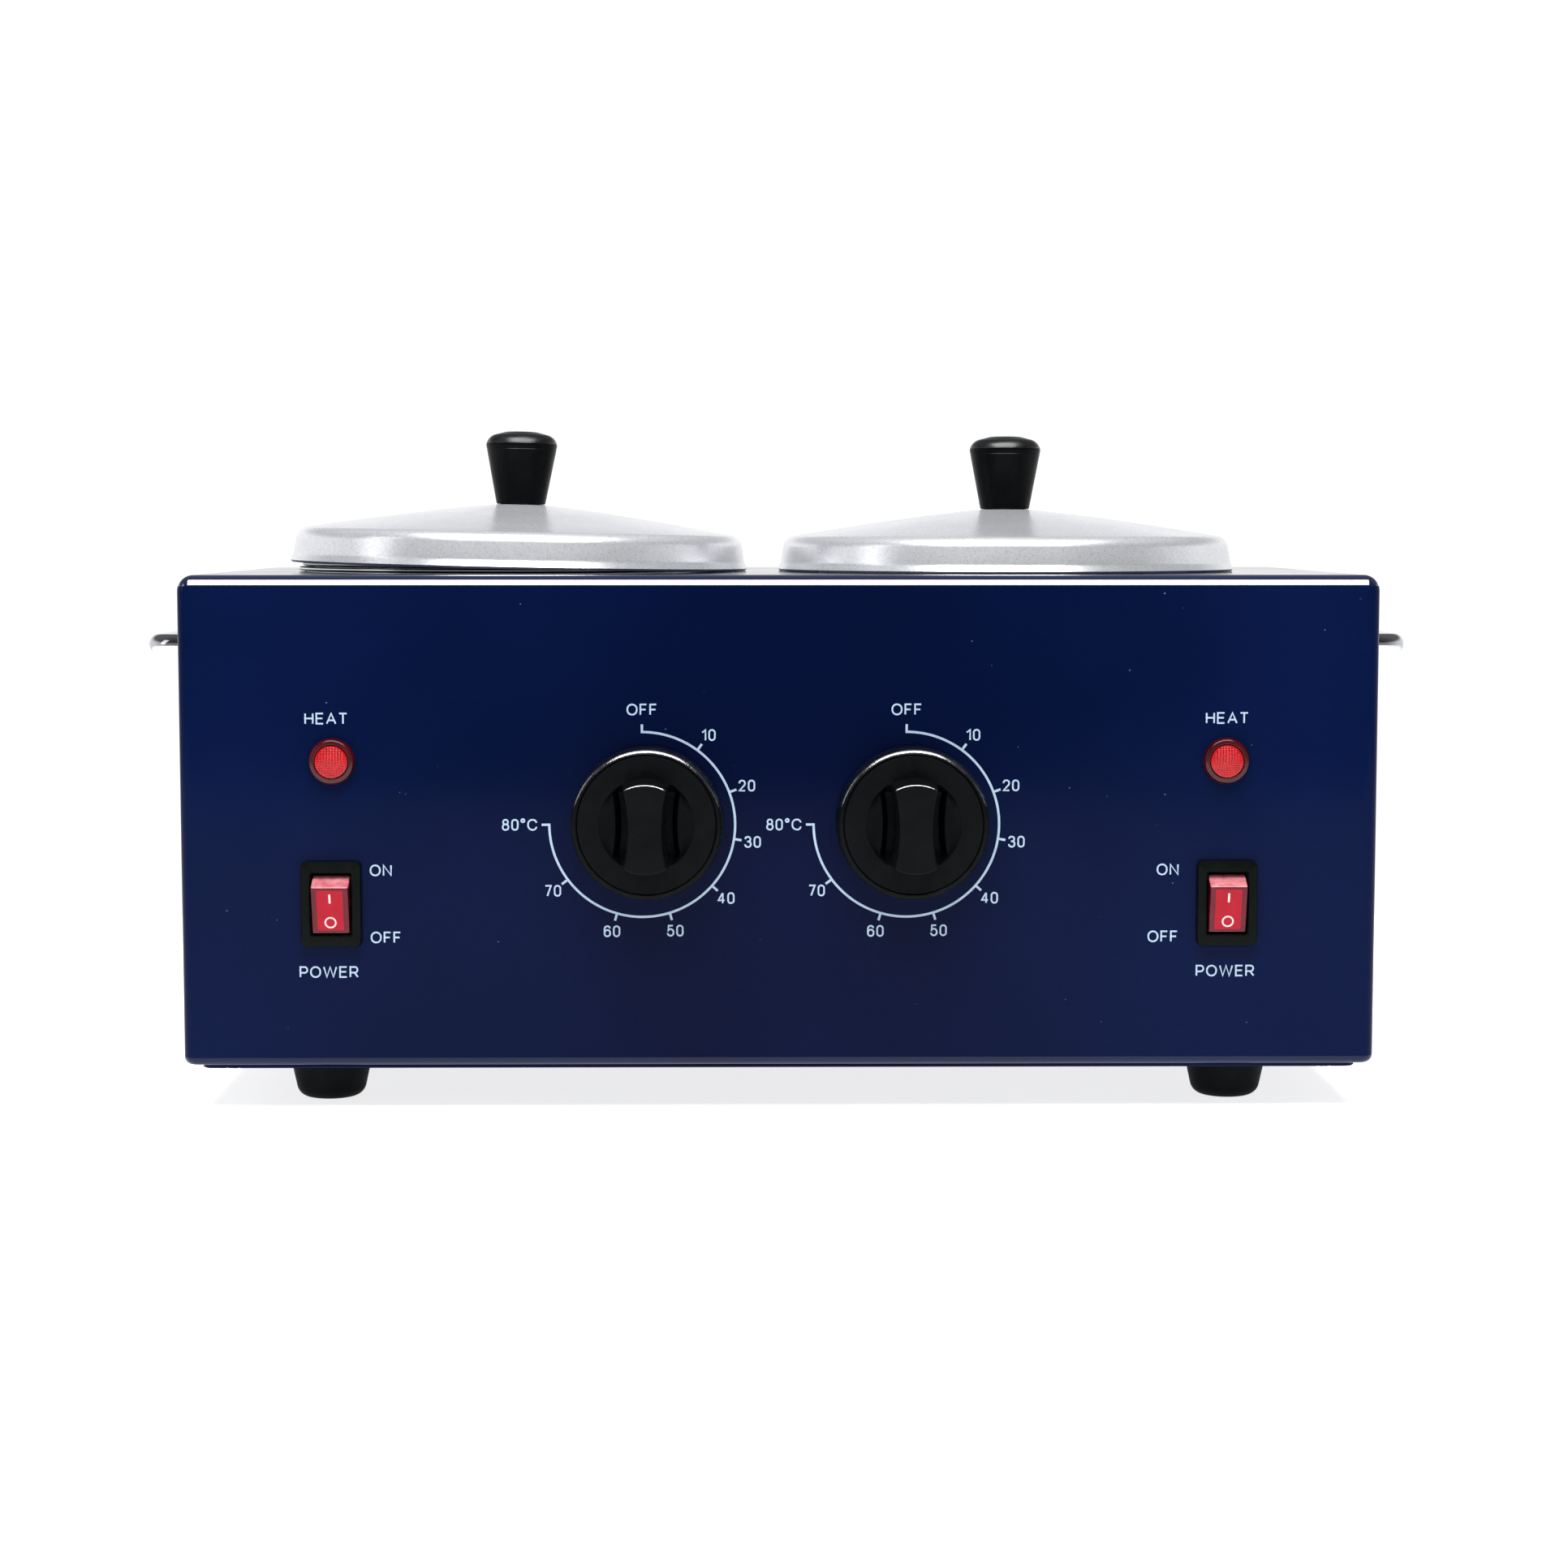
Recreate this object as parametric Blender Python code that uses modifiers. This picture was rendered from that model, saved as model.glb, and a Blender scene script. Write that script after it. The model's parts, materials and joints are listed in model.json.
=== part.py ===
"""Double wax warmer: a painted steel box with two heated wells, each with a loose pot and a lid.

The front panel carries, for each well, a thermostat with its knob, a pilot lamp and a rocker
switch. Left and right are as seen from the front, which faces -Y, so left is -X.
Everything is in metres, +Z is up, and the ground is at Z = 0.
"""

import math

import bmesh
import bpy
from mathutils import Vector

MM = 0.001

# Whole object.
BODY_WIDTH = 300 * MM
BODY_DEPTH = 150 * MM
SHELL_BOTTOM = 12 * MM
SHELL_TOP = 135 * MM
SHEET = 1.0 * MM
GAP = 0.3 * MM
BEND_RADIUS = 2.5 * MM
RETURN_WIDTH = 12 * MM
KNOB_REACH = 22 * MM
INLET_REACH = 2 * MM

# The knobs stand out further in front than the inlet does behind, so the box sits back
# from Y = 0 and the bounding box is centred there.
BODY_Y = (KNOB_REACH - INLET_REACH) / 2
FRONT = BODY_Y - BODY_DEPTH / 2
BACK = BODY_Y + BODY_DEPTH / 2
SIDE = BODY_WIDTH / 2

# Wells, pots and lids.
WELL_MIDDLE_X = -4 * MM
WELL_SPACING = 132 * MM
WELL_RADIUS = 56.5 * MM
WELL_SHEET = 1.0 * MM
WELL_HOLE_RADIUS = 58 * MM
WELL_FLANGE_RADIUS = 59.5 * MM
WELL_BOTTOM = 52 * MM
POT_RADIUS = 54 * MM
POT_SHEET = 1.2 * MM
POT_BOTTOM = 55 * MM
POT_BEAD_RADIUS = 58.5 * MM
POT_RIM = 142.7 * MM
LID_RADIUS = 62 * MM
LID_SHOULDER_RADIUS = 59.6 * MM
LID_SHEET = 1.2 * MM
LID_BOTTOM = SHELL_TOP + 0.4 * MM
LID_SHOULDER = 142.4 * MM
LID_APEX = 152 * MM
LID_CROWN = 7.9 * MM
LID_CROWN_POWER = 1.3
LEFT_LID_TILT = math.radians(1.2)
LID_KNOB_HEIGHT = 19 * MM
LID_KNOB_RADIUS = 9.5 * MM
LID_KNOB_BASE_RADIUS = 6.5 * MM
HEATER_LOW = 70 * MM
HEATER_HIGH = 105 * MM
HEATER_THICKNESS = 2.5 * MM

# Front panel.
DIAL_X = 33 * MM
DIAL_Z = 73.6 * MM
DIAL_RADIUS = 19 * MM
DIAL_FACE = 10 * MM
DIAL_GAP = 1 * MM
GRIP_RADIUS = 11.85 * MM
GRIP_END_WIDTH = 11 * MM
GRIP_WAIST_WIDTH = 8.6 * MM
SHAFT_RADIUS = 3 * MM
SHAFT_TIP = 16 * MM
SHAFT_FLAT = 1.6 * MM
BUSH_RADIUS = 4.7 * MM
LAMP_X = 111.5 * MM
LAMP_Z = 88.7 * MM
LAMP_RADIUS = 5.85 * MM
SWITCH_X = 112 * MM
SWITCH_Z = 53 * MM
BEZEL_WIDTH = 15 * MM
BEZEL_HEIGHT = 21.5 * MM
BEZEL_FRONT = 2.3 * MM
SWITCH_OPENING_WIDTH = 9.8 * MM
SWITCH_OPENING_HEIGHT = 15.5 * MM
SWITCH_DEPTH = 16 * MM
ROCKER_PIVOT_DEPTH = 1.5 * MM
ROCKER_TILT = math.radians(14)

# Sides, back and base.
HANDLE_Z = 116 * MM
HANDLE_REACH = 16.5 * MM
HANDLE_ROD_RADIUS = 3 * MM
HANDLE_LEG_SPREAD = 62 * MM
HANDLE_CORNER = 8 * MM
INLET_Z = 45 * MM
INLET_WIDTH = 31 * MM
INLET_HEIGHT = 24 * MM
PLATE_TOP = SHELL_BOTTOM - GAP
PLATE_BOTTOM = PLATE_TOP - SHEET
PLATE_INSET = 4 * MM
FOOT_X = 116 * MM
FOOT_INSET = 25 * MM
FOOT_RADIUS = 10.3 * MM
FOOT_HEIGHT = PLATE_BOTTOM - GAP
PLATE_SCREW_X = SIDE - 12 * MM
PLATE_SCREW_INSET = 7 * MM

# Flats round a turned piece, by its size.
LARGE_STEPS = 32
DIAL_STEPS = 28
SMALL_STEPS = 20
FOOT_STEPS = 16
SCREW_STEPS = 10

SIDES = (("left", -1), ("right", 1))

# Colour, roughness and metallic value of each finish.
FINISHES = {
    "navy_paint": ((0.010, 0.020, 0.090), 0.18, 0.0),
    "spun_aluminium": ((0.72, 0.73, 0.75), 0.42, 1.0),
    "chrome": ((0.80, 0.80, 0.82), 0.08, 1.0),
    "zinc_steel": ((0.55, 0.56, 0.58), 0.35, 1.0),
    "brass": ((0.78, 0.60, 0.28), 0.35, 1.0),
    "copper": ((0.72, 0.38, 0.22), 0.35, 1.0),
    "black_plastic": ((0.012, 0.012, 0.013), 0.38, 0.0),
    "black_rubber": ((0.010, 0.010, 0.010), 0.75, 0.0),
    "red_plastic": ((0.55, 0.010, 0.020), 0.20, 0.0),
    "ceramic": ((0.75, 0.73, 0.68), 0.55, 0.0),
    "mica_and_steel": ((0.42, 0.40, 0.36), 0.45, 0.6),
    "wire_insulation": ((0.35, 0.34, 0.32), 0.60, 0.0),
}


def clear_scene():
    for obj in list(bpy.data.objects):
        bpy.data.objects.remove(obj, do_unlink=True)


def new_collection(name):
    collection = bpy.data.collections.new(name)
    bpy.context.scene.collection.children.link(collection)
    return collection


clear_scene()
PARTS = new_collection("double_wax_warmer")
CUTTERS = new_collection("cutters")


# Building blocks.


def material_for(name, finish):
    colour, roughness, metallic = FINISHES[finish]
    material = bpy.data.materials.new(name + "_" + finish)
    material.use_nodes = True
    shader = material.node_tree.nodes["Principled BSDF"]
    shader.inputs["Base Color"].default_value = (*colour, 1)
    shader.inputs["Roughness"].default_value = roughness
    shader.inputs["Metallic"].default_value = metallic
    return material


def place(name, data, frame, finish):
    """An object from this mesh or curve under a frame. With no finish it is a cutter."""
    obj = bpy.data.objects.new(name, data)
    obj.parent = frame
    if finish:
        PARTS.objects.link(obj)
        data.materials.append(material_for(name, finish))
    else:
        CUTTERS.objects.link(obj)
        obj.hide_render = True
        obj.display_type = "WIRE"
    return obj


def frame_at(name, location, rotation=(0, 0, 0), parent=None):
    frame = bpy.data.objects.new(name, None)
    frame.location = location
    frame.rotation_euler = rotation
    frame.parent = parent
    PARTS.objects.link(frame)
    return frame


def front_frame(name, x, z):
    """A frame on the front panel: local X is right, Y is up and Z is outwards."""
    return frame_at(name, (x, FRONT, z), (math.pi / 2, 0, 0))


def mesh_from(name, bm):
    mesh = bpy.data.meshes.new(name)
    bm.to_mesh(mesh)
    bm.free()
    return mesh


def box(name, low, high, frame=None, finish=None):
    low = Vector(low)
    size = Vector(high) - low
    bm = bmesh.new()
    bmesh.ops.create_cube(bm, size=1)
    bmesh.ops.scale(bm, vec=size, verts=bm.verts)
    bmesh.ops.translate(bm, vec=low + size / 2, verts=bm.verts)
    return place(name, mesh_from(name, bm), frame, finish)


def cylinder(name, radius, low, high, frame=None, finish=None, sides=20, centre=(0, 0)):
    """A cylinder along the frame's Z, from low to high."""
    bm = bmesh.new()
    bmesh.ops.create_cone(
        bm, cap_ends=True, segments=sides, radius1=radius, radius2=radius, depth=high - low
    )
    middle = Vector((centre[0], centre[1], (low + high) / 2))
    bmesh.ops.translate(bm, vec=middle, verts=bm.verts)
    for face in bm.faces:
        face.smooth = len(face.verts) == 4
    return place(name, mesh_from(name, bm), frame, finish)


def turned(name, profile, steps, frame=None, finish=None, closed=False):
    """A solid turned round the frame's Z. A closed profile is a ring that misses the axis."""
    edges = [(i, i + 1) for i in range(len(profile) - 1)]
    if closed:
        edges.append((len(profile) - 1, 0))
    mesh = bpy.data.meshes.new(name)
    mesh.from_pydata([(radius, 0, height) for radius, height in profile], edges, [])
    obj = place(name, mesh, frame, finish)
    screw = obj.modifiers.new("turn", "SCREW")
    screw.steps = steps
    screw.render_steps = steps
    screw.use_merge_vertices = True
    screw.merge_threshold = 0.00001
    screw.use_smooth_shade = True
    return obj


def hex_nut(name, flat_radius, bore_radius, low, high, frame, finish):
    """A six-sided ring, turned in six steps, so its radii are to the corners."""
    corner = 1 / math.cos(math.pi / 6)
    outer = flat_radius * corner
    inner = bore_radius * corner
    profile = [(outer, high), (outer, low), (inner, low), (inner, high)]
    return turned(name, profile, 6, frame, finish, closed=True)


def outline_solid(name, outline, low, high, frame=None, finish=None):
    """A flat outline in the frame's XY plane, made solid from low to high."""
    curve = bpy.data.curves.new(name, "CURVE")
    curve.dimensions = "2D"
    curve.fill_mode = "BOTH"
    curve.extrude = (high - low) / 2
    spline = curve.splines.new("POLY")
    spline.points.add(len(outline) - 1)
    for point, (x, y) in zip(spline.points, outline):
        point.co = (x, y, 0, 1)
    spline.use_cyclic_u = True
    obj = mesh_of_curve(name, curve, frame, finish)
    for vertex in obj.data.vertices:
        vertex.co.z += (low + high) / 2
    return obj


def mesh_of_curve(name, curve, frame, finish):
    """The curve as a closed mesh object, because a curve takes no Boolean."""
    guide = bpy.data.objects.new(name + "_guide", curve)
    CUTTERS.objects.link(guide)
    bpy.context.view_layer.update()
    evaluated = guide.evaluated_get(bpy.context.evaluated_depsgraph_get())
    mesh = bpy.data.meshes.new_from_object(evaluated)
    bpy.data.objects.remove(guide, do_unlink=True)
    bm = bmesh.new()
    bm.from_mesh(mesh)
    bmesh.ops.remove_doubles(bm, verts=bm.verts, dist=0.00001)
    bmesh.ops.recalc_face_normals(bm, faces=bm.faces)
    bm.to_mesh(mesh)
    bm.free()
    return place(name, mesh, frame, finish)


def tube(name, points, radii, frame, finish, resolution=2):
    """A round tube along these points, with a radius for each of them."""
    curve = bpy.data.curves.new(name, "CURVE")
    curve.dimensions = "3D"
    curve.bevel_depth = 1
    curve.bevel_resolution = resolution
    curve.use_fill_caps = True
    spline = curve.splines.new("POLY")
    spline.points.add(len(points) - 1)
    for point, place_at, radius in zip(spline.points, points, radii):
        point.co = (*place_at, 1)
        point.radius = radius
    return mesh_of_curve(name, curve, frame, finish)


def smooth_route(knots, per_span):
    """Points on a Catmull-Rom curve through the knots, with both ends kept."""
    ends = [knots[0] * 2 - knots[1], *knots, knots[-1] * 2 - knots[-2]]
    points = []
    for a, b, c, d in zip(ends, ends[1:], ends[2:], ends[3:]):
        for i in range(per_span):
            t = i / per_span
            linear = (c - a) * t
            square = (a * 2 - b * 5 + c * 4 - d) * t**2
            cube = (b * 3 - a - c * 3 + d) * t**3
            points.append((b * 2 + linear + square + cube) / 2)
    return points + [knots[-1]]


def combine(target, other, operation):
    modifier = target.modifiers.new(other.name, "BOOLEAN")
    modifier.operation = operation
    modifier.solver = "EXACT"
    modifier.object = other


def cut(target, *cutters):
    for cutter in cutters:
        combine(target, cutter, "DIFFERENCE")


def join(target, *additions):
    for addition in additions:
        combine(target, addition, "UNION")


# The box.


def housing_shell():
    """One folded sheet: top, four walls, and returns round the open bottom."""
    bm = bmesh.new()
    bmesh.ops.create_cube(bm, size=1)
    height = SHELL_TOP - SHELL_BOTTOM
    bmesh.ops.scale(bm, vec=(BODY_WIDTH, BODY_DEPTH, height), verts=bm.verts)
    middle = (0, BODY_Y, SHELL_BOTTOM + height / 2)
    bmesh.ops.translate(bm, vec=middle, verts=bm.verts)
    bottom = min(bm.faces, key=lambda face: face.calc_center_median().z)
    bmesh.ops.inset_individual(bm, faces=[bottom], thickness=RETURN_WIDTH)
    bmesh.ops.delete(bm, geom=[bottom], context="FACES")
    shell = place("housing_shell", mesh_from("housing_shell", bm), None, "navy_paint")
    bend = shell.modifiers.new("bends", "BEVEL")
    bend.width = BEND_RADIUS
    bend.segments = 3
    bend.limit_method = "ANGLE"
    bend.angle_limit = math.radians(40)
    sheet = shell.modifiers.new("sheet", "SOLIDIFY")
    sheet.thickness = SHEET
    sheet.offset = -1
    sheet.use_even_offset = True
    return shell


def well_x(sign):
    return WELL_MIDDLE_X + sign * WELL_SPACING / 2


def cut_top(shell):
    for side, sign in SIDES:
        centre = (well_x(sign), BODY_Y)
        cut(shell, cylinder("well_hole_" + side, WELL_HOLE_RADIUS, SHELL_TOP - 5 * MM,
                            SHELL_TOP + 5 * MM, sides=LARGE_STEPS, centre=centre))


def corners(x, inset):
    """Four places in plan, symmetric about the box's centre lines."""
    return [
        (place_name, sign_x * x, y)
        for place_name, sign_x, y in (
            ("front_left", -1, FRONT + inset),
            ("front_right", 1, FRONT + inset),
            ("back_left", -1, BACK - inset),
            ("back_right", 1, BACK - inset),
        )
    ]


def base_plate():
    low = (-SIDE + PLATE_INSET, FRONT + PLATE_INSET, PLATE_BOTTOM)
    high = (SIDE - PLATE_INSET, BACK - PLATE_INSET, PLATE_TOP)
    plate = box("base_plate", low, high, finish="navy_paint")
    slot_pitch = 13 * MM
    slot_length = 30 * MM
    slot_width = 4 * MM
    slots_per_side = 5
    for side, sign in SIDES:
        for i in range(slots_per_side):
            x = well_x(sign) + (i - (slots_per_side - 1) / 2) * slot_pitch
            slot_low = (x - slot_width / 2, BODY_Y - slot_length / 2, PLATE_BOTTOM - SHEET)
            slot_high = (x + slot_width / 2, BODY_Y + slot_length / 2, PLATE_TOP + SHEET)
            cut(plate, box(f"vent_{side}_{i + 1}", slot_low, slot_high))
    return plate


def plate_screws(shell, plate):
    """Countersunk screws that hold the plate to the shell's returns."""
    radius = 1.5 * MM
    head_radius = 2.9 * MM
    head_top = PLATE_BOTTOM + head_radius - radius
    profile = [
        (0, 18 * MM),
        (radius, 17.4 * MM),
        (radius, head_top),
        (head_radius, PLATE_BOTTOM),
        (0, PLATE_BOTTOM),
    ]
    for where, x, y in corners(PLATE_SCREW_X, PLATE_SCREW_INSET):
        frame = frame_at("plate_screw_at_" + where, (x, y, 0))
        turned("plate_screw_" + where, profile, SCREW_STEPS, frame, "zinc_steel")
        hole = cylinder("return_hole_" + where, radius + 0.6 * MM, SHELL_BOTTOM - 5 * MM,
                        SHELL_BOTTOM + 5 * MM, frame, sides=12)
        cut(shell, hole)
        sink = [
            (0, PLATE_TOP + SHEET),
            (radius + 1.5 * GAP, PLATE_TOP + SHEET),
            (radius + 1.5 * GAP, head_top),
            (head_radius + 1.5 * GAP + SHEET, PLATE_BOTTOM - SHEET),
            (0, PLATE_BOTTOM - SHEET),
        ]
        cut(plate, turned("countersink_" + where, sink, SCREW_STEPS, frame))


def feet_and_screws(plate):
    foot_hole = 2.3 * MM
    recess_radius = 4.6 * MM
    recess_top = 5 * MM
    profile = [
        (FOOT_RADIUS, FOOT_HEIGHT),
        (FOOT_RADIUS, FOOT_HEIGHT - 1.6 * MM),
        (9.3 * MM, 3.6 * MM),
        (8.3 * MM, 1.2 * MM),
        (6.9 * MM, 0),
        (recess_radius, 0),
        (recess_radius, recess_top),
        (foot_hole, recess_top),
        (foot_hole, FOOT_HEIGHT),
    ]
    for where, x, y in corners(FOOT_X, FOOT_INSET):
        frame = frame_at("foot_at_" + where, (x, y, 0))
        turned("foot_" + where, profile, FOOT_STEPS, frame, "black_rubber", closed=True)
        cut(plate, cylinder("foot_hole_" + where, foot_hole, 5 * MM, 16 * MM, frame, sides=12))
        pan_screw("foot_screw_" + where, 2 * MM, 3.8 * MM, recess_top - GAP, 17 * MM, frame)


def pan_screw(name, radius, head_radius, seat, tip, frame):
    """A screw that goes up through its seat, with its head below."""
    head_height = 1.8 * MM
    head_rim = seat - 0.8 * MM
    profile = [
        (0, tip),
        (radius, tip - radius / 2),
        (radius, seat),
        (head_radius, seat),
        (head_radius, head_rim),
        (head_radius * 0.6, seat - head_height),
        (0, seat - head_height),
    ]
    return turned(name, profile, SCREW_STEPS, frame, "zinc_steel")


# Wells, heaters, pots and lids.


def well(side, frame):
    flange_low = SHELL_TOP + GAP
    flange_high = flange_low + WELL_SHEET
    outer = WELL_RADIUS + WELL_SHEET
    profile = [
        (0, WELL_BOTTOM + WELL_SHEET),
        (WELL_RADIUS - 3 * MM, WELL_BOTTOM + WELL_SHEET),
        (WELL_RADIUS, WELL_BOTTOM + WELL_SHEET + 3 * MM),
        (WELL_RADIUS, flange_high),
        (WELL_FLANGE_RADIUS, flange_high),
        (WELL_FLANGE_RADIUS, flange_low),
        (outer, flange_low),
        (outer, WELL_BOTTOM + 4 * MM),
        (outer - 4 * MM, WELL_BOTTOM),
        (0, WELL_BOTTOM),
    ]
    turned("well_" + side, profile, LARGE_STEPS, frame, "spun_aluminium")


def band_heater(side, frame):
    """A split band round the well, with two ears at the back and the screw through them."""
    inner = WELL_RADIUS + WELL_SHEET + GAP
    outer = inner + HEATER_THICKNESS
    profile = [
        (outer, HEATER_HIGH), (outer, HEATER_LOW), (inner, HEATER_LOW), (inner, HEATER_HIGH)
    ]
    name = "band_heater_" + side
    band = turned(name, profile, LARGE_STEPS, frame, "mica_and_steel", closed=True)
    split = 3 * MM
    cut(band, box(name + "_split", (-split, inner - 5 * MM, HEATER_LOW - 5 * MM),
                  (split, outer + 5 * MM, HEATER_HIGH + 5 * MM), frame))
    ear = 1.5 * MM
    ear_high = HEATER_HIGH - 10 * MM
    ear_low = HEATER_LOW + 10 * MM
    screw_y = outer + 4.5 * MM
    screw_z = (ear_low + ear_high) / 2
    for end, sign in SIDES:
        low_x = min(sign * split, sign * (split + ear))
        low = (low_x, inner + 1 * MM, ear_low)
        high = (low_x + ear, outer + 8.5 * MM, ear_high)
        join(band, box(name + "_ear_" + end, low, high, frame))
    across = frame_at(name + "_screw_frame", (0, screw_y, screw_z), (0, math.pi / 2, 0), frame)
    cut(band, cylinder(name + "_screw_hole", 1.9 * MM, -8 * MM, 8 * MM, across, sides=12))
    head_seat = -split - ear - GAP
    pan_screw("heater_clamp_screw_" + side, 1.6 * MM, 3 * MM, head_seat, 9 * MM, across)


def insert_pot(side, frame):
    bead_low = SHELL_TOP + WELL_SHEET + 2 * GAP
    bead_high = bead_low + 1 * MM
    outer = POT_RADIUS + POT_SHEET
    floor = POT_BOTTOM + POT_SHEET
    profile = [
        (0, floor),
        (POT_RADIUS - 4 * MM, floor),
        (POT_RADIUS, floor + 4 * MM),
        (POT_RADIUS, POT_RIM),
        (outer, POT_RIM),
        (outer, bead_high),
        (POT_BEAD_RADIUS, bead_high),
        (POT_BEAD_RADIUS, bead_low),
        (outer, bead_low),
        (outer, POT_BOTTOM + 5 * MM),
        (outer - 5 * MM, POT_BOTTOM),
        (0, POT_BOTTOM),
    ]
    turned("insert_pot_" + side, profile, LARGE_STEPS, frame, "spun_aluminium")


def crown_height(radius):
    """Height of the lid's outer surface at this radius, from apex to shoulder."""
    return LID_APEX - LID_CROWN * (radius / LID_SHOULDER_RADIUS) ** LID_CROWN_POWER


def lid(side, frame):
    hole = 2.3 * MM
    crown_edge = LID_SHOULDER_RADIUS - 2 * MM
    rings = 4
    radii = [hole + (crown_edge - hole) * i / rings for i in range(rings + 1)]
    outside = [(radius, crown_height(radius)) for radius in radii]
    outside += [(LID_SHOULDER_RADIUS, LID_SHOULDER), (LID_RADIUS, LID_BOTTOM)]
    inside = [
        (LID_RADIUS - LID_SHEET, LID_BOTTOM),
        (LID_SHOULDER_RADIUS - LID_SHEET, LID_SHOULDER - 0.3 * MM),
        (crown_edge - LID_SHEET / 2, crown_height(crown_edge) - LID_SHEET),
    ]
    inside += [(radius, height - LID_SHEET) for radius, height in reversed(outside[:rings])]
    turned("lid_" + side, outside + inside, LARGE_STEPS, frame, "spun_aluminium", closed=True)
    lid_knob(side, frame)


def lid_knob(side, frame):
    base = LID_APEX + GAP
    top = LID_APEX + GAP + LID_KNOB_HEIGHT
    bore = 2.3 * MM
    bore_top = base + 12 * MM
    profile = [
        (0, top),
        (LID_KNOB_RADIUS * 0.60, top - 0.3 * MM),
        (LID_KNOB_RADIUS * 0.87, top - 1.3 * MM),
        (LID_KNOB_RADIUS * 0.98, top - 2.8 * MM),
        (LID_KNOB_RADIUS, top - 4.2 * MM),
        (LID_KNOB_RADIUS * 0.97, top - 5.8 * MM),
        (LID_KNOB_BASE_RADIUS + 0.5 * MM, base + 1.6 * MM),
        (LID_KNOB_BASE_RADIUS, base),
        (bore, base),
        (bore, bore_top),
        (0, bore_top),
    ]
    turned("lid_knob_" + side, profile, SMALL_STEPS, frame, "black_plastic")
    seat = crown_height(4 * MM) - LID_SHEET - GAP
    pan_screw("lid_knob_screw_" + side, 2 * MM, 4 * MM, seat, bore_top - GAP, frame)


def lid_frame(side, centre_x):
    """The left lid sits askew: it is turned about the edge where its skirt touches the top."""
    if side == "right":
        return frame_at("lid_frame_right", (centre_x, BODY_Y, 0))
    seat = (centre_x + LID_RADIUS, BODY_Y, LID_BOTTOM)
    hinge = frame_at("lid_seat_left", seat, (0, LEFT_LID_TILT, 0))
    return frame_at("lid_frame_left", (-LID_RADIUS, 0, -LID_BOTTOM), parent=hinge)


def heated_wells():
    for side, sign in SIDES:
        centre_x = well_x(sign)
        frame = frame_at("well_frame_" + side, (centre_x, BODY_Y, 0))
        well(side, frame)
        band_heater(side, frame)
        insert_pot(side, frame)
        lid(side, lid_frame(side, centre_x))


# Front panel.


def thermostat(side, x, shell):
    frame = front_frame("dial_frame_" + side, x, DIAL_Z)
    cut(shell, cylinder("bush_hole_" + side, BUSH_RADIUS + GAP, -5 * MM, 5 * MM, frame))
    name = "thermostat_body_" + side
    back = -SHEET - GAP - 14 * MM
    body = box(name, (-13 * MM, -19 * MM, back), (13 * MM, 19 * MM, -SHEET - GAP), frame,
               "ceramic")
    join(body, cylinder(name + "_bush", BUSH_RADIUS, -4 * MM, 4.6 * MM, frame))
    for i, tab_x in enumerate((-7 * MM, 0, 7 * MM)):
        low = (tab_x - 2.4 * MM, -25 * MM, back + 3 * MM)
        high = (tab_x + 2.4 * MM, -18 * MM, back + 3.8 * MM)
        join(body, box(f"{name}_tab_{i + 1}", low, high, frame))
    bore_bottom = -10 * MM
    cut(body, cylinder(name + "_bore", SHAFT_RADIUS + GAP, bore_bottom, 8 * MM, frame))
    hex_nut("thermostat_nut_" + side, 6.5 * MM, BUSH_RADIUS + GAP, GAP, 2.8 * MM, frame,
            "zinc_steel")
    shaft = cylinder("thermostat_shaft_" + side, SHAFT_RADIUS, bore_bottom + GAP, SHAFT_TIP,
                     frame, "zinc_steel", sides=16)
    cut(shaft, box("shaft_flat_" + side, (-5 * MM, -5 * MM, 6 * MM),
                   (5 * MM, -SHAFT_FLAT, 25 * MM), frame))
    dial_knob(side, frame)
    sensor_bulb(side, x)


def grip_outline():
    """The grip in plan: ends on the inner circle, sides waisted along a parabola."""
    half_length = math.sqrt(GRIP_RADIUS**2 - (GRIP_END_WIDTH / 2) ** 2)
    steps = 6
    right = []
    for i in range(steps + 1):
        t = 2 * i / steps - 1
        width = GRIP_WAIST_WIDTH + (GRIP_END_WIDTH - GRIP_WAIST_WIDTH) * t**2
        right.append((width / 2, half_length * t))
    top = [(0, GRIP_RADIUS)]
    left = [(-x, y) for x, y in reversed(right)]
    return right + top + left + [(0, -GRIP_RADIUS)]


def dial_knob(side, frame):
    groove = 17.3 * MM
    wall = 1.8 * MM
    ceiling = 6 * MM
    face = DIAL_FACE
    profile = [
        (0, face - 0.5 * MM),
        (GRIP_RADIUS - 0.4 * MM, face - 0.5 * MM),
        (GRIP_RADIUS, face),
        (groove - 0.4 * MM, face),
        (groove, face - 0.6 * MM),
        (groove + 0.4 * MM, face),
        (DIAL_RADIUS - 0.9 * MM, face - 0.2 * MM),
        (DIAL_RADIUS - 0.1 * MM, face - 1.4 * MM),
        (DIAL_RADIUS, DIAL_GAP),
        (DIAL_RADIUS - wall, DIAL_GAP),
        (DIAL_RADIUS - wall, ceiling),
        (0, ceiling),
    ]
    name = "dial_knob_" + side
    knob = turned(name, profile, DIAL_STEPS, frame, "black_plastic")
    join(knob, outline_solid(name + "_grip", grip_outline(), face - 2 * MM, KNOB_REACH, frame))
    bore = cylinder(name + "_bore", SHAFT_RADIUS + GAP, 3 * MM, SHAFT_TIP + GAP, frame, sides=16)
    flat_low = (-5 * MM, -5 * MM, 0)
    flat_high = (5 * MM, -SHAFT_FLAT - GAP, 25 * MM)
    cut(bore, box(name + "_bore_flat", flat_low, flat_high, frame))
    cut(knob, bore)


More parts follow.
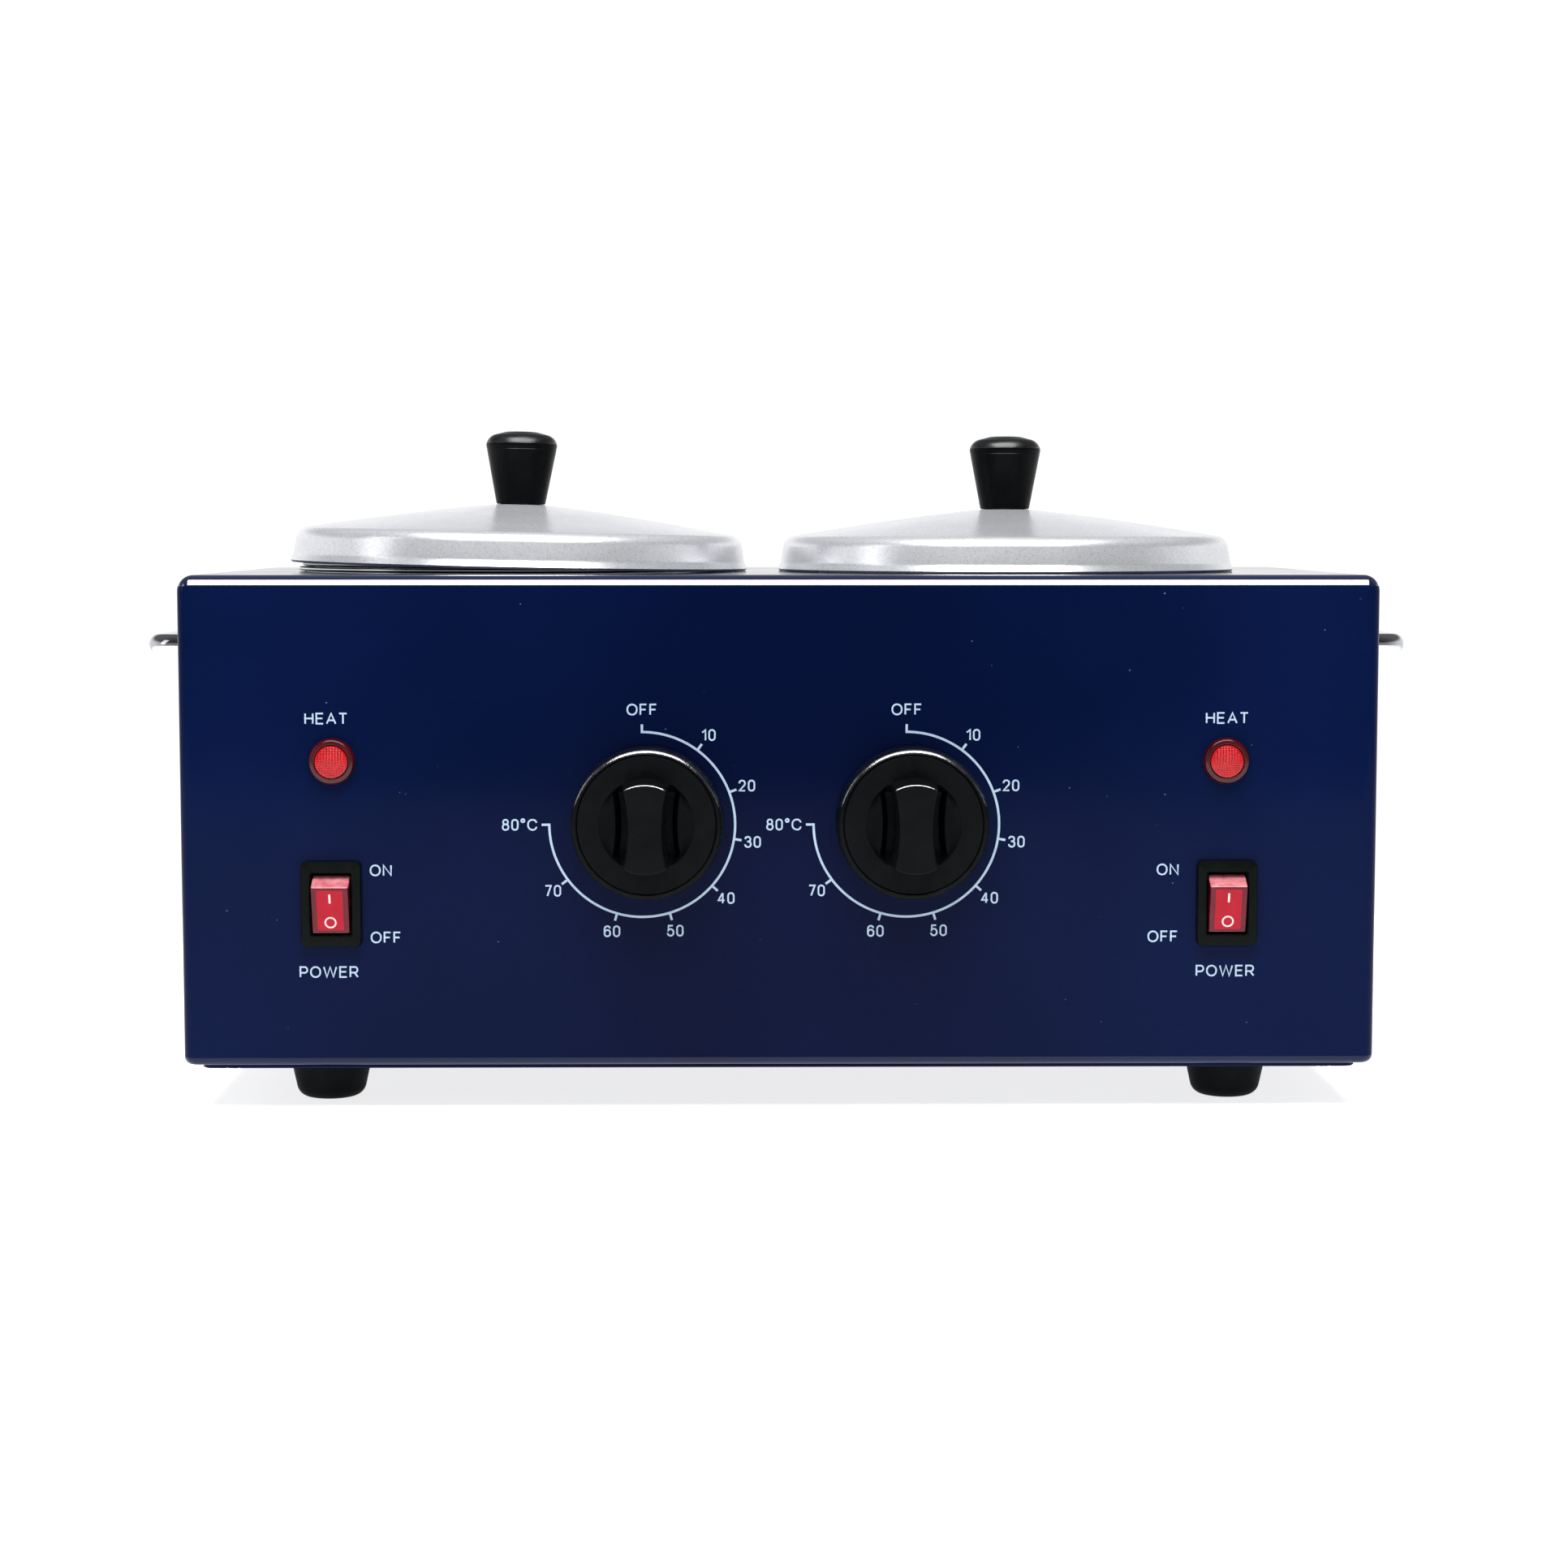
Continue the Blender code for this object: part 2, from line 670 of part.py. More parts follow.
def sensor_bulb(side, x):
    """The capillary tube runs from under the thermostat to the bulb beneath the well."""
    bulb_x = well_x(-1 if side == "left" else 1)
    bulb_z = WELL_BOTTOM - 3.2 * MM
    start = Vector((x, FRONT + 10 * MM, DIAL_Z - 26 * MM))
    knots = [
        start,
        start + Vector((0, 1 * MM, -9 * MM)),
        Vector(((x + bulb_x) / 2, FRONT + 18 * MM, bulb_z - 12 * MM)),
        Vector((bulb_x, FRONT + 34 * MM, bulb_z - 6 * MM)),
        Vector((bulb_x, BODY_Y - 24 * MM, bulb_z)),
    ]
    points = smooth_route(knots, 4)
    bulb_end = Vector((bulb_x, BODY_Y + 24 * MM, bulb_z))
    bulb_start = points[-1] + Vector((0, 1 * MM, 0))
    radii = [0.8 * MM] * len(points) + [2.2 * MM, 2.2 * MM]
    tube("sensor_bulb_" + side, points + [bulb_start, bulb_end], radii, None, "copper", 1)


def pilot_lamp(side, x, shell):
    frame = front_frame("lamp_frame_" + side, x, LAMP_Z)
    body_radius = 4.8 * MM
    socket = 3.6 * MM
    stem = socket - GAP
    cut(shell, cylinder("lamp_hole_" + side, body_radius + GAP, -5 * MM, 5 * MM, frame))
    lens = [
        (0, 3.2 * MM),
        (2.4 * MM, 3.0 * MM),
        (4.0 * MM, 2.2 * MM),
        (5.2 * MM, 2.2 * MM),
        (LAMP_RADIUS, 1.4 * MM),
        (LAMP_RADIUS, GAP),
        (stem, GAP),
        (stem, -5 * MM),
        (0, -5 * MM),
    ]
    turned("lamp_lens_" + side, lens, SMALL_STEPS, frame, "red_plastic")
    name = "lamp_body_" + side
    holder = [
        (0, -6 * MM),
        (socket, -6 * MM),
        (socket, 0),
        (body_radius, 0),
        (body_radius, -22 * MM),
        (0, -22 * MM),
    ]
    body = turned(name, holder, SMALL_STEPS, frame, "black_plastic")
    for end, sign in SIDES:
        low = (sign * 2.2 * MM - 0.4 * MM, -1.4 * MM, -28 * MM)
        high = (sign * 2.2 * MM + 0.4 * MM, 1.4 * MM, -21 * MM)
        join(body, box(f"{name}_tab_{end}", low, high, frame))


def power_switch(side, x, shell):
    frame = front_frame("switch_frame_" + side, x, SWITCH_Z)
    half_x = 6.3 * MM
    half_y = 9.4 * MM
    hole_low = (-half_x - GAP, -half_y - GAP, -5 * MM)
    hole_high = (half_x + GAP, half_y + GAP, 5 * MM)
    cut(shell, box("switch_hole_" + side, hole_low, hole_high, frame))
    name = "switch_body_" + side
    bezel_low = (-BEZEL_WIDTH / 2, -BEZEL_HEIGHT / 2, GAP)
    bezel_high = (BEZEL_WIDTH / 2, BEZEL_HEIGHT / 2, BEZEL_FRONT)
    body = box(name, bezel_low, bezel_high, frame, "black_plastic")
    join(body, box(name + "_case", (-half_x, -half_y, -SWITCH_DEPTH),
                   (half_x, half_y, GAP + 1 * MM), frame))
    for i, tab_y in enumerate((-6.5 * MM, 0, 6.5 * MM)):
        low = (-2.4 * MM, tab_y - 0.4 * MM, -SWITCH_DEPTH - 7 * MM)
        high = (2.4 * MM, tab_y + 0.4 * MM, -SWITCH_DEPTH + 1 * MM)
        join(body, box(f"{name}_tab_{i + 1}", low, high, frame))
    opening_low = (-SWITCH_OPENING_WIDTH / 2, -SWITCH_OPENING_HEIGHT / 2, -6 * MM)
    opening_high = (SWITCH_OPENING_WIDTH / 2, SWITCH_OPENING_HEIGHT / 2, 8 * MM)
    cut(body, box(name + "_opening", opening_low, opening_high, frame))
    rocker(side, frame, body)


def rocker(side, frame, body):
    """The rocker about its pivot, in side view. At rest its upper end stands out."""
    pivot = frame_at("rocker_frame_" + side, (0, 0, -ROCKER_PIVOT_DEPTH),
                     (ROCKER_TILT, 0, 0), frame)
    sideways = frame_at("rocker_side_view_" + side, (0, 0, 0), (math.pi / 2, 0, math.pi / 2),
                        pivot)
    name = "rocker_" + side
    upper = [(6 * MM, 5.2 * MM), (7.4 * MM, 0), (6 * MM, -2 * MM)]
    lower = [(-across, out) for across, out in reversed(upper)]
    half_width = SWITCH_OPENING_WIDTH / 2 - GAP
    solid = outline_solid(name, upper + lower, -half_width, half_width, sideways, "red_plastic")
    axle_reach = 5.6 * MM
    axle_radius = 1.1 * MM
    join(solid, cylinder(name + "_axle", axle_radius, -axle_reach, axle_reach, sideways,
                         sides=12))
    cut(body, cylinder(name + "_axle_hole", axle_radius + GAP, -axle_reach - GAP,
                       axle_reach + GAP, sideways, sides=12))


# Sides, back and inside.


def side_handles(shell):
    """A bent rod on each side, with a nut on each leg inside the wall."""
    reach = HANDLE_REACH - HANDLE_ROD_RADIUS
    half_spread = HANDLE_LEG_SPREAD / 2
    inside = -13 * MM
    bend_steps = 6
    path = [(inside, half_spread)]
    for i in range(bend_steps + 1):
        angle = math.pi / 2 * i / bend_steps
        x = reach - HANDLE_CORNER + HANDLE_CORNER * math.sin(angle)
        y = half_spread - HANDLE_CORNER + HANDLE_CORNER * math.cos(angle)
        path.append((x, y))
    path += [(x, -y) for x, y in reversed(path)]
    for side, sign in SIDES:
        wall = frame_at("handle_frame_" + side, (sign * SIDE, BODY_Y, HANDLE_Z),
                        (0, 0, 0 if sign > 0 else math.pi))
        points = [Vector((x, y, 0)) for x, y in path]
        radii = [HANDLE_ROD_RADIUS] * len(points)
        tube("side_handle_" + side, points, radii, wall, "chrome", 3)
        for end, leg in (("front", -1), ("back", 1)):
            y = leg * sign * half_spread
            leg_frame = frame_at(f"handle_leg_{side}_{end}", (0, y, 0), (0, math.pi / 2, 0), wall)
            hole = cylinder(f"handle_hole_{side}_{end}", HANDLE_ROD_RADIUS + GAP, -5 * MM,
                            5 * MM, leg_frame, sides=16)
            cut(shell, hole)
            nut_high = -SHEET - GAP
            hex_nut(f"handle_nut_{side}_{end}", 5 * MM, HANDLE_ROD_RADIUS + GAP,
                    nut_high - 5 * MM, nut_high, leg_frame, "zinc_steel")


def chamfered(width, height, chamfer):
    """A rectangle whose two upper corners are cut off, as an appliance inlet has."""
    x = width / 2
    y = height / 2
    return [(-x, -y), (x, -y), (x, y - chamfer), (x - chamfer, y), (-x + chamfer, y),
            (-x, y - chamfer)]


def power_inlet(shell):
    frame = frame_at("inlet_frame", (0, BACK, INLET_Z), (math.pi / 2, 0, math.pi))
    case_width = 27 * MM
    case_height = 19.6 * MM
    case_back = -20 * MM
    low = (-case_width / 2 - GAP, -case_height / 2 - GAP, -5 * MM)
    high = (case_width / 2 + GAP, case_height / 2 + GAP, 5 * MM)
    cut(shell, box("inlet_hole", low, high, frame))
    inlet = box("power_inlet", (-INLET_WIDTH / 2, -INLET_HEIGHT / 2, GAP),
                (INLET_WIDTH / 2, INLET_HEIGHT / 2, INLET_REACH), frame, "black_plastic")
    join(inlet, box("inlet_case", (-case_width / 2, -case_height / 2, case_back),
                    (case_width / 2, case_height / 2, GAP + 1 * MM), frame))
    recess = chamfered(24.6 * MM, 17 * MM, 5 * MM)
    floor = -16 * MM
    cut(inlet, outline_solid("inlet_recess", recess, floor, 5 * MM, frame))
    pins = (("live", -7 * MM, -2 * MM), ("neutral", 7 * MM, -2 * MM), ("earth", 0, 2 * MM))
    for pin, x, y in pins:
        half_x = 1 * MM
        half_y = 2 * MM
        box("inlet_pin_" + pin, (x - half_x, y - half_y, case_back - 6 * MM),
            (x + half_x, y + half_y, -3 * MM), frame, "brass")
        cut(inlet, box("inlet_slot_" + pin, (x - half_x - GAP, y - half_y - GAP, -30 * MM),
                       (x + half_x + GAP, y + half_y + GAP, floor + 1 * MM), frame))


def terminal_block():
    frame = frame_at("terminal_frame", (0, BODY_Y + 20 * MM, PLATE_TOP + GAP))
    height = 15 * MM
    block = box("terminal_block", (-20 * MM, -9 * MM, 0), (20 * MM, 9 * MM, height), frame,
                "ceramic")
    for i in range(3):
        x = (i - 1) * 12 * MM
        cut(block, cylinder(f"terminal_well_{i + 1}", 2.5 * MM, height - 6 * MM, height + 5 * MM,
                            frame, sides=12, centre=(x, 0)))


def wiring_looms():
    """A bundle of wires along the base, from the terminal block to each switch."""
    for side, sign in SIDES:
        knots = [
            Vector((sign * 21 * MM, BODY_Y + 20 * MM, 20 * MM)),
            Vector((sign * 40 * MM, BODY_Y + 16 * MM, 19 * MM)),
            Vector((sign * 72 * MM, BODY_Y - 22 * MM, 18 * MM)),
            Vector((sign * 104 * MM, FRONT + 32 * MM, 22 * MM)),
            Vector((sign * SWITCH_X, FRONT + 27 * MM, SWITCH_Z - 12 * MM)),
        ]
        points = smooth_route(knots, 5)
        radii = [2.4 * MM] * len(points)
        tube("wiring_loom_" + side, points, radii, None, "wire_insulation", 1)


def main():
    shell = housing_shell()
    cut_top(shell)
    plate = base_plate()
    plate_screws(shell, plate)
    feet_and_screws(plate)
    heated_wells()
    for side, sign in SIDES:
        thermostat(side, sign * DIAL_X, shell)
        pilot_lamp(side, sign * LAMP_X, shell)
        power_switch(side, sign * SWITCH_X, shell)
    side_handles(shell)
    power_inlet(shell)
    terminal_block()
    wiring_looms()


main()
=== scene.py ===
"""Looks of the double wax warmer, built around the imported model.

Left and right are as seen from the front, which faces -Y. Lengths are in metres, and MM turns
a number of millimetres into metres. A turned or lofted piece is built in a local frame, which
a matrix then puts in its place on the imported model.
"""

import json
import math

import bmesh
import bpy
from mathutils import Matrix, Vector


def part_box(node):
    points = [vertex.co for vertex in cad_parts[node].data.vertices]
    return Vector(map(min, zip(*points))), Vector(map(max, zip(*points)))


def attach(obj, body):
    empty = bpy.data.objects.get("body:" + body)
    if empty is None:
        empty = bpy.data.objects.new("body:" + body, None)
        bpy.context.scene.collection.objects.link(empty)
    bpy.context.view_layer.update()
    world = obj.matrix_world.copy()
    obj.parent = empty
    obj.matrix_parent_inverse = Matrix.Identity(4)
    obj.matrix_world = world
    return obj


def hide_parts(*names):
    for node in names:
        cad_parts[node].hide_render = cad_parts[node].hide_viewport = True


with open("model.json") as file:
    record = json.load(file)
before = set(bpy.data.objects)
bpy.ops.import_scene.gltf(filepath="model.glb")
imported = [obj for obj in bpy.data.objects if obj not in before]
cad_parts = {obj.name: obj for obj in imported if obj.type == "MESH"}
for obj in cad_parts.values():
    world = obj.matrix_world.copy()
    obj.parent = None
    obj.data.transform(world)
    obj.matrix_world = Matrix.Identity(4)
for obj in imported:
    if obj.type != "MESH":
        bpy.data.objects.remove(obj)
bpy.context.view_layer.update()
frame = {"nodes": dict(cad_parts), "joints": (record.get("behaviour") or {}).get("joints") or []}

MM = 0.001
SIDES = (("left", -1), ("right", 1))
ENDS = ("front_left", "front_right", "back_left", "back_right")

SHELL_LOW, SHELL_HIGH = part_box("housing_shell")
PLATE_LOW, PLATE_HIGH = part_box("base_plate")
FRONT = SHELL_LOW.y
BACK = SHELL_HIGH.y
MIDDLE = (SHELL_LOW + SHELL_HIGH) / 2
SHEET = 1 * MM
GAP = 0.3 * MM
JOINTS = {joint["name"]: joint for joint in frame["joints"]}

ARC_STEP = math.radians(9)
ROUND_STEPS = 128
SMALL_STEPS = 64
SHARP_ANGLE = math.radians(38)
BLOCK_CORNER = 0.2 * MM
PRINT_RAISE = 0.05 * MM
PRINT_LAYER = 0.008 * MM


# Places.


def centre_of(node):
    low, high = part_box(node)
    return (low + high) / 2


def hinge_at(joint):
    return Vector(JOINTS[joint]["pos_m"])


def on_front(x, z):
    """The frame on the front panel: local X is right, Y is up and Z is outwards."""
    return Matrix.Translation((x, FRONT, z)) @ Matrix.Rotation(math.pi / 2, 4, "X")


def on_back(x, z):
    turn = Matrix.Rotation(math.pi, 4, "Z") @ Matrix.Rotation(math.pi / 2, 4, "X")
    return Matrix.Translation((x, BACK, z)) @ turn


def upright(x, y, z=0.0):
    return Matrix.Translation((x, y, z))


# Outlines.


def filleted(corners, closed=False):
    """Points of a line through corners, given as (x, y), or (x, y, radius) if rounded."""
    points = []
    last = len(corners) - 1
    for i, (x, y, *rounding) in enumerate(corners):
        here = Vector((x, y))
        if not rounding or (not closed and i in (0, last)):
            points.append(here)
            continue
        before = (Vector(corners[i - 1][:2]) - here).normalized()
        after = (Vector(corners[(i + 1) % (last + 1)][:2]) - here).normalized()
        half = before.angle(after) / 2
        radius = rounding[0]
        centre = here + (before + after).normalized() * radius / math.sin(half)
        reach = radius / math.tan(half)
        start = here + before * reach - centre
        end = here + after * reach - centre
        first = math.atan2(start.y, start.x)
        turn = math.remainder(math.atan2(end.y, end.x) - first, math.tau)
        steps = max(2, math.ceil(abs(turn) / ARC_STEP - 0.01))
        for k in range(steps + 1):
            angle = first + turn * k / steps
            points.append(centre + Vector((math.cos(angle), math.sin(angle))) * radius)
    return points


def rounded_rectangle(width, height, radius):
    x = width / 2
    y = height / 2
    corners = [(x, -y, radius), (x, y, radius), (-x, y, radius), (-x, -y, radius)]
    return filleted(corners, closed=True)


def arc(radius, first, last, steps):
    """Points on a circle. The angles run clockwise from straight up, as on a dial."""
    points = []
    for k in range(steps + 1):
        angle = first + (last - first) * k / steps
        points.append(Vector((radius * math.sin(angle), radius * math.cos(angle))))
    return points


# Meshes.


def added(name, data):
    obj = bpy.data.objects.new(name, data)
    bpy.context.scene.collection.objects.link(obj)
    return obj


def finished_mesh(name, bm):
    """A smooth object from this mesh, with its sharp edges marked and its flat faces kept flat."""
    bmesh.ops.recalc_face_normals(bm, faces=bm.faces)
    mesh = bpy.data.meshes.new(name)
    bm.to_mesh(mesh)
    bm.free()
    obj = added(name, mesh)
    smooth(obj)
    return obj


def smooth(obj):
    for polygon in obj.data.polygons:
        polygon.use_smooth = True
    obj.data.set_sharp_from_angle(angle=SHARP_ANGLE)
    if "normals" not in obj.modifiers:
        normals = obj.modifiers.new("normals", "WEIGHTED_NORMAL")
        normals.keep_sharp = True


def bridge(bm, a, b):
    count = max(len(a), len(b))
    for i in range(count):
        j = (i + 1) % count
        corners = [a[i % len(a)], a[j % len(a)], b[j % len(b)], b[i % len(b)]]
        distinct = list(dict.fromkeys(corners))
        if len(distinct) > 2:
            bm.faces.new(distinct)


def lofted(name, rings, matrix, closed=False):
    """A solid whose skin runs through rings of points, with a flat face on each open end. A ring
    has as many points as the others or just one, and closed joins the last to the first."""
    bm = bmesh.new()
    loops = [[bm.verts.new(matrix @ Vector(point)) for point in ring] for ring in rings]
    for a, b in zip(loops, loops[1:]):
        bridge(bm, a, b)
    if closed:
        bridge(bm, loops[-1], loops[0])
    else:
        for loop in (loops[0], loops[-1]):
            if len(loop) > 1:
                bm.faces.new(loop)
    return finished_mesh(name, bm)


def turned(name, profile, matrix, steps=ROUND_STEPS, closed=False):
    """A solid turned round the local Z. The profile's points are (radius, height)."""
    rings = []
    for radius, height in profile:
        count = steps if radius > 1e-7 else 1
        angles = [math.tau * i / steps for i in range(count)]
        rings.append([(radius * math.cos(a), radius * math.sin(a), height) for a in angles])
    return lofted(name, rings, matrix, closed)


def ring_at(outline, height):
    return [(x, y, height) for x, y in outline]


def prism(name, outline, low, high, matrix):
    """A flat outline made solid from low to high along the local Z."""
    return lofted(name, [ring_at(outline, low), ring_at(outline, high)], matrix)


def moulding(name, sections, matrix):
    """A solid through rounded rectangles, each a full size, inset, corner radius and height."""
    rings = []
    for (width, depth), inset, radius, height in sections:
        outline = rounded_rectangle(width - 2 * inset, depth - 2 * inset, radius)
        rings.append(ring_at(outline, height))
    return lofted(name, rings, matrix)


def cylinder(name, radius, half_length, matrix, steps=SMALL_STEPS):
    profile = [(0, half_length), (radius, half_length), (radius, -half_length), (0, -half_length)]
    return turned(name, profile, matrix, steps)


def block(name, low, high, matrix):
    """A box with its upright corners rounded a little."""
    size = Vector(high) - Vector(low)
    middle = (Vector(high) + Vector(low)) / 2
    outline = rounded_rectangle(size.x, size.y, BLOCK_CORNER)
    shifted = [point + middle.xy for point in outline]
    return prism(name, shifted, low[2], high[2], matrix)


def rod(name, points, radius, matrix, sides=32):
    """A round bar along these points, which lie in the local XY plane."""
    rings = []
    for i, point in enumerate(points):
        before = points[max(i - 1, 0)]
        after = points[min(i + 1, len(points) - 1)]
        along = (after - before).normalized()
        side = along.cross(Vector((0, 0, 1))).normalized()
        up = side.cross(along)
        ring = []
        for k in range(sides):
            angle = math.tau * k / sides
            ring.append(point + (side * math.cos(angle) + up * math.sin(angle)) * radius)
        rings.append(ring)
    return lofted(name, rings, matrix)


def settle(obj):
    """Applies the object's modifiers to its mesh."""
    if "normals" in obj.modifiers:
        obj.modifiers.remove(obj.modifiers["normals"])
    bpy.context.view_layer.update()
    evaluated = obj.evaluated_get(bpy.context.evaluated_depsgraph_get())
    obj.data = bpy.data.meshes.new_from_object(evaluated)
    obj.modifiers.clear()
    smooth(obj)


def combine(target, others, operation):
    for other in others:
        other.modifiers.clear()
        modifier = target.modifiers.new(other.name, "BOOLEAN")
        modifier.operation = operation
        modifier.solver = "EXACT"
        modifier.object = other
    settle(target)
    for other in others:
        bpy.data.objects.remove(other, do_unlink=True)


def bevel(obj, width, segments=3, angle=math.radians(40)):
    modifier = obj.modifiers.new("bevel", "BEVEL")
    modifier.width = width
    modifier.segments = segments
    modifier.limit_method = "ANGLE"
    modifier.angle_limit = angle
    settle(obj)


def fit_out(obj, body, slot, finish, *nodes):
    """Gives a piece its finish and its body, and hides the nodes that it stands for."""
    obj.data.materials.clear()
    obj.data.materials.append(MATERIALS[finish])
    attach(obj, body)
    if nodes:
        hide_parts(*nodes)


def refinish(obj, finish, chosen):
    """Gives another finish to the faces that chosen picks."""
    index = len(obj.data.materials)
    obj.data.materials.append(MATERIALS[finish])
    for polygon in obj.data.polygons:
        if chosen(polygon):
            polygon.material_index = index


# Materials.


def add(tree, kind, inputs=None, **settings):
    """A shader node with these settings and inputs. An input is a value or another's output."""
    made = tree.nodes.new(kind)
    for key, value in settings.items():
        setattr(made, key, value)
    for key, value in (inputs or {}).items():
        if isinstance(value, bpy.types.NodeSocket):
            tree.links.new(value, made.inputs[key])
        else:
            made.inputs[key].default_value = value
    return made


def blended(tree, share, first, second):
    """A colour between two, by a share from 0 to 1."""
    mix = add(tree, "ShaderNodeMix", data_type="RGBA")
    tree.links.new(share, mix.inputs[0])
    for socket, colour in ((mix.inputs[6], first), (mix.inputs[7], second)):
        if isinstance(colour, bpy.types.NodeSocket):
            tree.links.new(colour, socket)
        else:
            socket.default_value = (*colour, 1)
    return mix.outputs[2]


def ranged(tree, value, low, high, out_low=0.0, out_high=1.0):
    inputs = {"Value": value, "From Min": low, "From Max": high,
              "To Min": out_low, "To Max": out_high}
    return add(tree, "ShaderNodeMapRange", inputs).outputs["Result"]


def noise(tree, place, scale, detail=2.0):
    inputs = {"Vector": place, "Scale": scale, "Detail": detail}
    return add(tree, "ShaderNodeTexNoise", inputs).outputs["Fac"]


def surfaced(name, colours, roughness, patch, grain, relief, **constants):
    """A Principled material. Its colour and roughness vary in patches, and a fine grain raises
    its surface. patch and grain are counts per metre, and relief is the grain's height in
    millimetres. grain can also be a function that makes the height."""
    material = bpy.data.materials.new(name)
    material.use_nodes = True
    tree = material.node_tree
    shader = tree.nodes["Principled BSDF"]
    place = add(tree, "ShaderNodeTexCoord").outputs["Object"]
    patches = ranged(tree, noise(tree, place, patch, 4.0), 0.3, 0.7)
    tree.links.new(blended(tree, patches, *colours), shader.inputs["Base Color"])
    rough = ranged(tree, noise(tree, place, patch * 2.3, 3.0), 0.3, 0.7, *roughness)
    tree.links.new(rough, shader.inputs["Roughness"])
    height = grain(tree, place) if callable(grain) else noise(tree, place, grain)
    bump = add(tree, "ShaderNodeBump", {"Height": height, "Distance": relief * MM})
    tree.links.new(bump.outputs["Normal"], shader.inputs["Normal"])
    for key, value in constants.items():
        shader.inputs[key.replace("_", " ")].default_value = value
    return material


def parts_of(material):
    """What surfaced made: the tree, the shader, the object coordinates and the colour."""
    tree = material.node_tree
    shader = tree.nodes["Principled BSDF"]
    place = tree.nodes["Texture Coordinate"].outputs["Object"]
    return tree, shader, place, shader.inputs["Base Color"].links[0].from_socket


NAVY = ((0.0008, 0.0040, 0.025), (0.0015, 0.0055, 0.034))


def navy_paint():
    """Gloss enamel with an orange peel and a few pale specks of dust, its colour painted darker
    towards the middle of the box as painted shade.
    """
    material = surfaced("navy_enamel", NAVY, (0.07, 0.13), 14, 420, 0.0012, IOR=1.11)
    tree, shader, place, enamel = parts_of(material)
    across = add(tree, "ShaderNodeSeparateXYZ", {"Vector": place}).outputs["X"]
    away = add(tree, "ShaderNodeMath", {0: across}, operation="ABSOLUTE").outputs[0]
    # Painted shade: the colour is darkened towards the middle of the box (small X) to stand in for
    # the shade that falls there.
    deep = ranged(tree, away, 0.03, 0.14, 0.55, 0.0)
    enamel = blended(tree, deep, enamel, (0.0003, 0.0014, 0.013))
    dots = add(tree, "ShaderNodeTexVoronoi", {"Vector": place, "Scale": 150.0})
    speck = ranged(tree, dots.outputs["Distance"], 0.035, 0.02)
    share = ranged(tree, noise(tree, place, 90), 0.45, 0.7)
    faint = add(tree, "ShaderNodeMath", {0: speck, 1: share}, operation="MULTIPLY")
    dust_and_painted_shade = blended(tree, faint.outputs[0], enamel, (0.12, 0.16, 0.27))
    tree.links.new(dust_and_painted_shade, shader.inputs["Base Color"])
    return material


def bent_paint(name, **shine):
    """The same enamel where the sheet is bent over: it has flowed thick there and shines more."""
    return surfaced(name, NAVY, (0.05, 0.10), 14, 420, 0.0012, **shine)


def frosted_aluminium():
    """Sandblasted metal: bright grains of about a quarter of a millimetre."""
    material = surfaced("frosted_aluminium", ((0.66, 0.67, 0.70), (0.72, 0.73, 0.76)),
                        (0.24, 0.28), 25, 3400, 0.016, Metallic=0.64)
    tree, shader, place, plain = parts_of(material)
    cells = add(tree, "ShaderNodeTexVoronoi", {"Vector": place, "Scale": 3400.0})
    grains = add(tree, "ShaderNodeSeparateColor", {"Color": cells.outputs["Color"]})
    bright = ranged(tree, grains.outputs[0], 0.55, 1.0, 0.0, 0.5)
    sparkled = blended(tree, bright, plain, (0.86, 0.87, 0.90))
    dark = ranged(tree, grains.outputs[1], 0.75, 1.0, 0.0, 0.35)
    tree.links.new(blended(tree, dark, sparkled, (0.24, 0.25, 0.27)), shader.inputs["Base Color"])
    return material


def spun_rings(tree, place):
    """The fine level rings that spinning leaves in the walls of a sheet."""
    stretched = add(tree, "ShaderNodeVectorMath", {0: place, 1: (6.0, 6.0, 1700.0)},
                    operation="MULTIPLY")
    return noise(tree, stretched.outputs[0], 1.0, 3.0)


def painted_glow_panel():
    """The rocker's inner face: rows of fine dots show in the clear red plastic, and a faint
    emission is a painted glow standing in for light through it.
    """
    material = surfaced("rocker_painted_glow_face", ((0.24, 0.003, 0.012), (0.30, 0.006, 0.017)),
                        (0.10, 0.18), 300, 900, 0.002, IOR=1.22,
                        Emission_Color=(0.8, 0.02, 0.04, 1), Emission_Strength=0.12)
    tree, shader, place, plain = parts_of(material)
    along = add(tree, "ShaderNodeSeparateXYZ", {"Vector": place})
    flat = add(tree, "ShaderNodeCombineXYZ", {"X": along.outputs["X"], "Y": along.outputs["Z"]})
    cells = add(tree, "ShaderNodeTexVoronoi", {"Vector": flat.outputs[0], "Scale": 2300.0,
                                               "Randomness": 0.15}, voronoi_dimensions="2D")
    dots = ranged(tree, cells.outputs["Distance"], 0.42, 0.20, 0.0, 0.45)
    tree.links.new(blended(tree, dots, plain, (0.17, 0.0, 0.008)), shader.inputs["Base Color"])
    return material


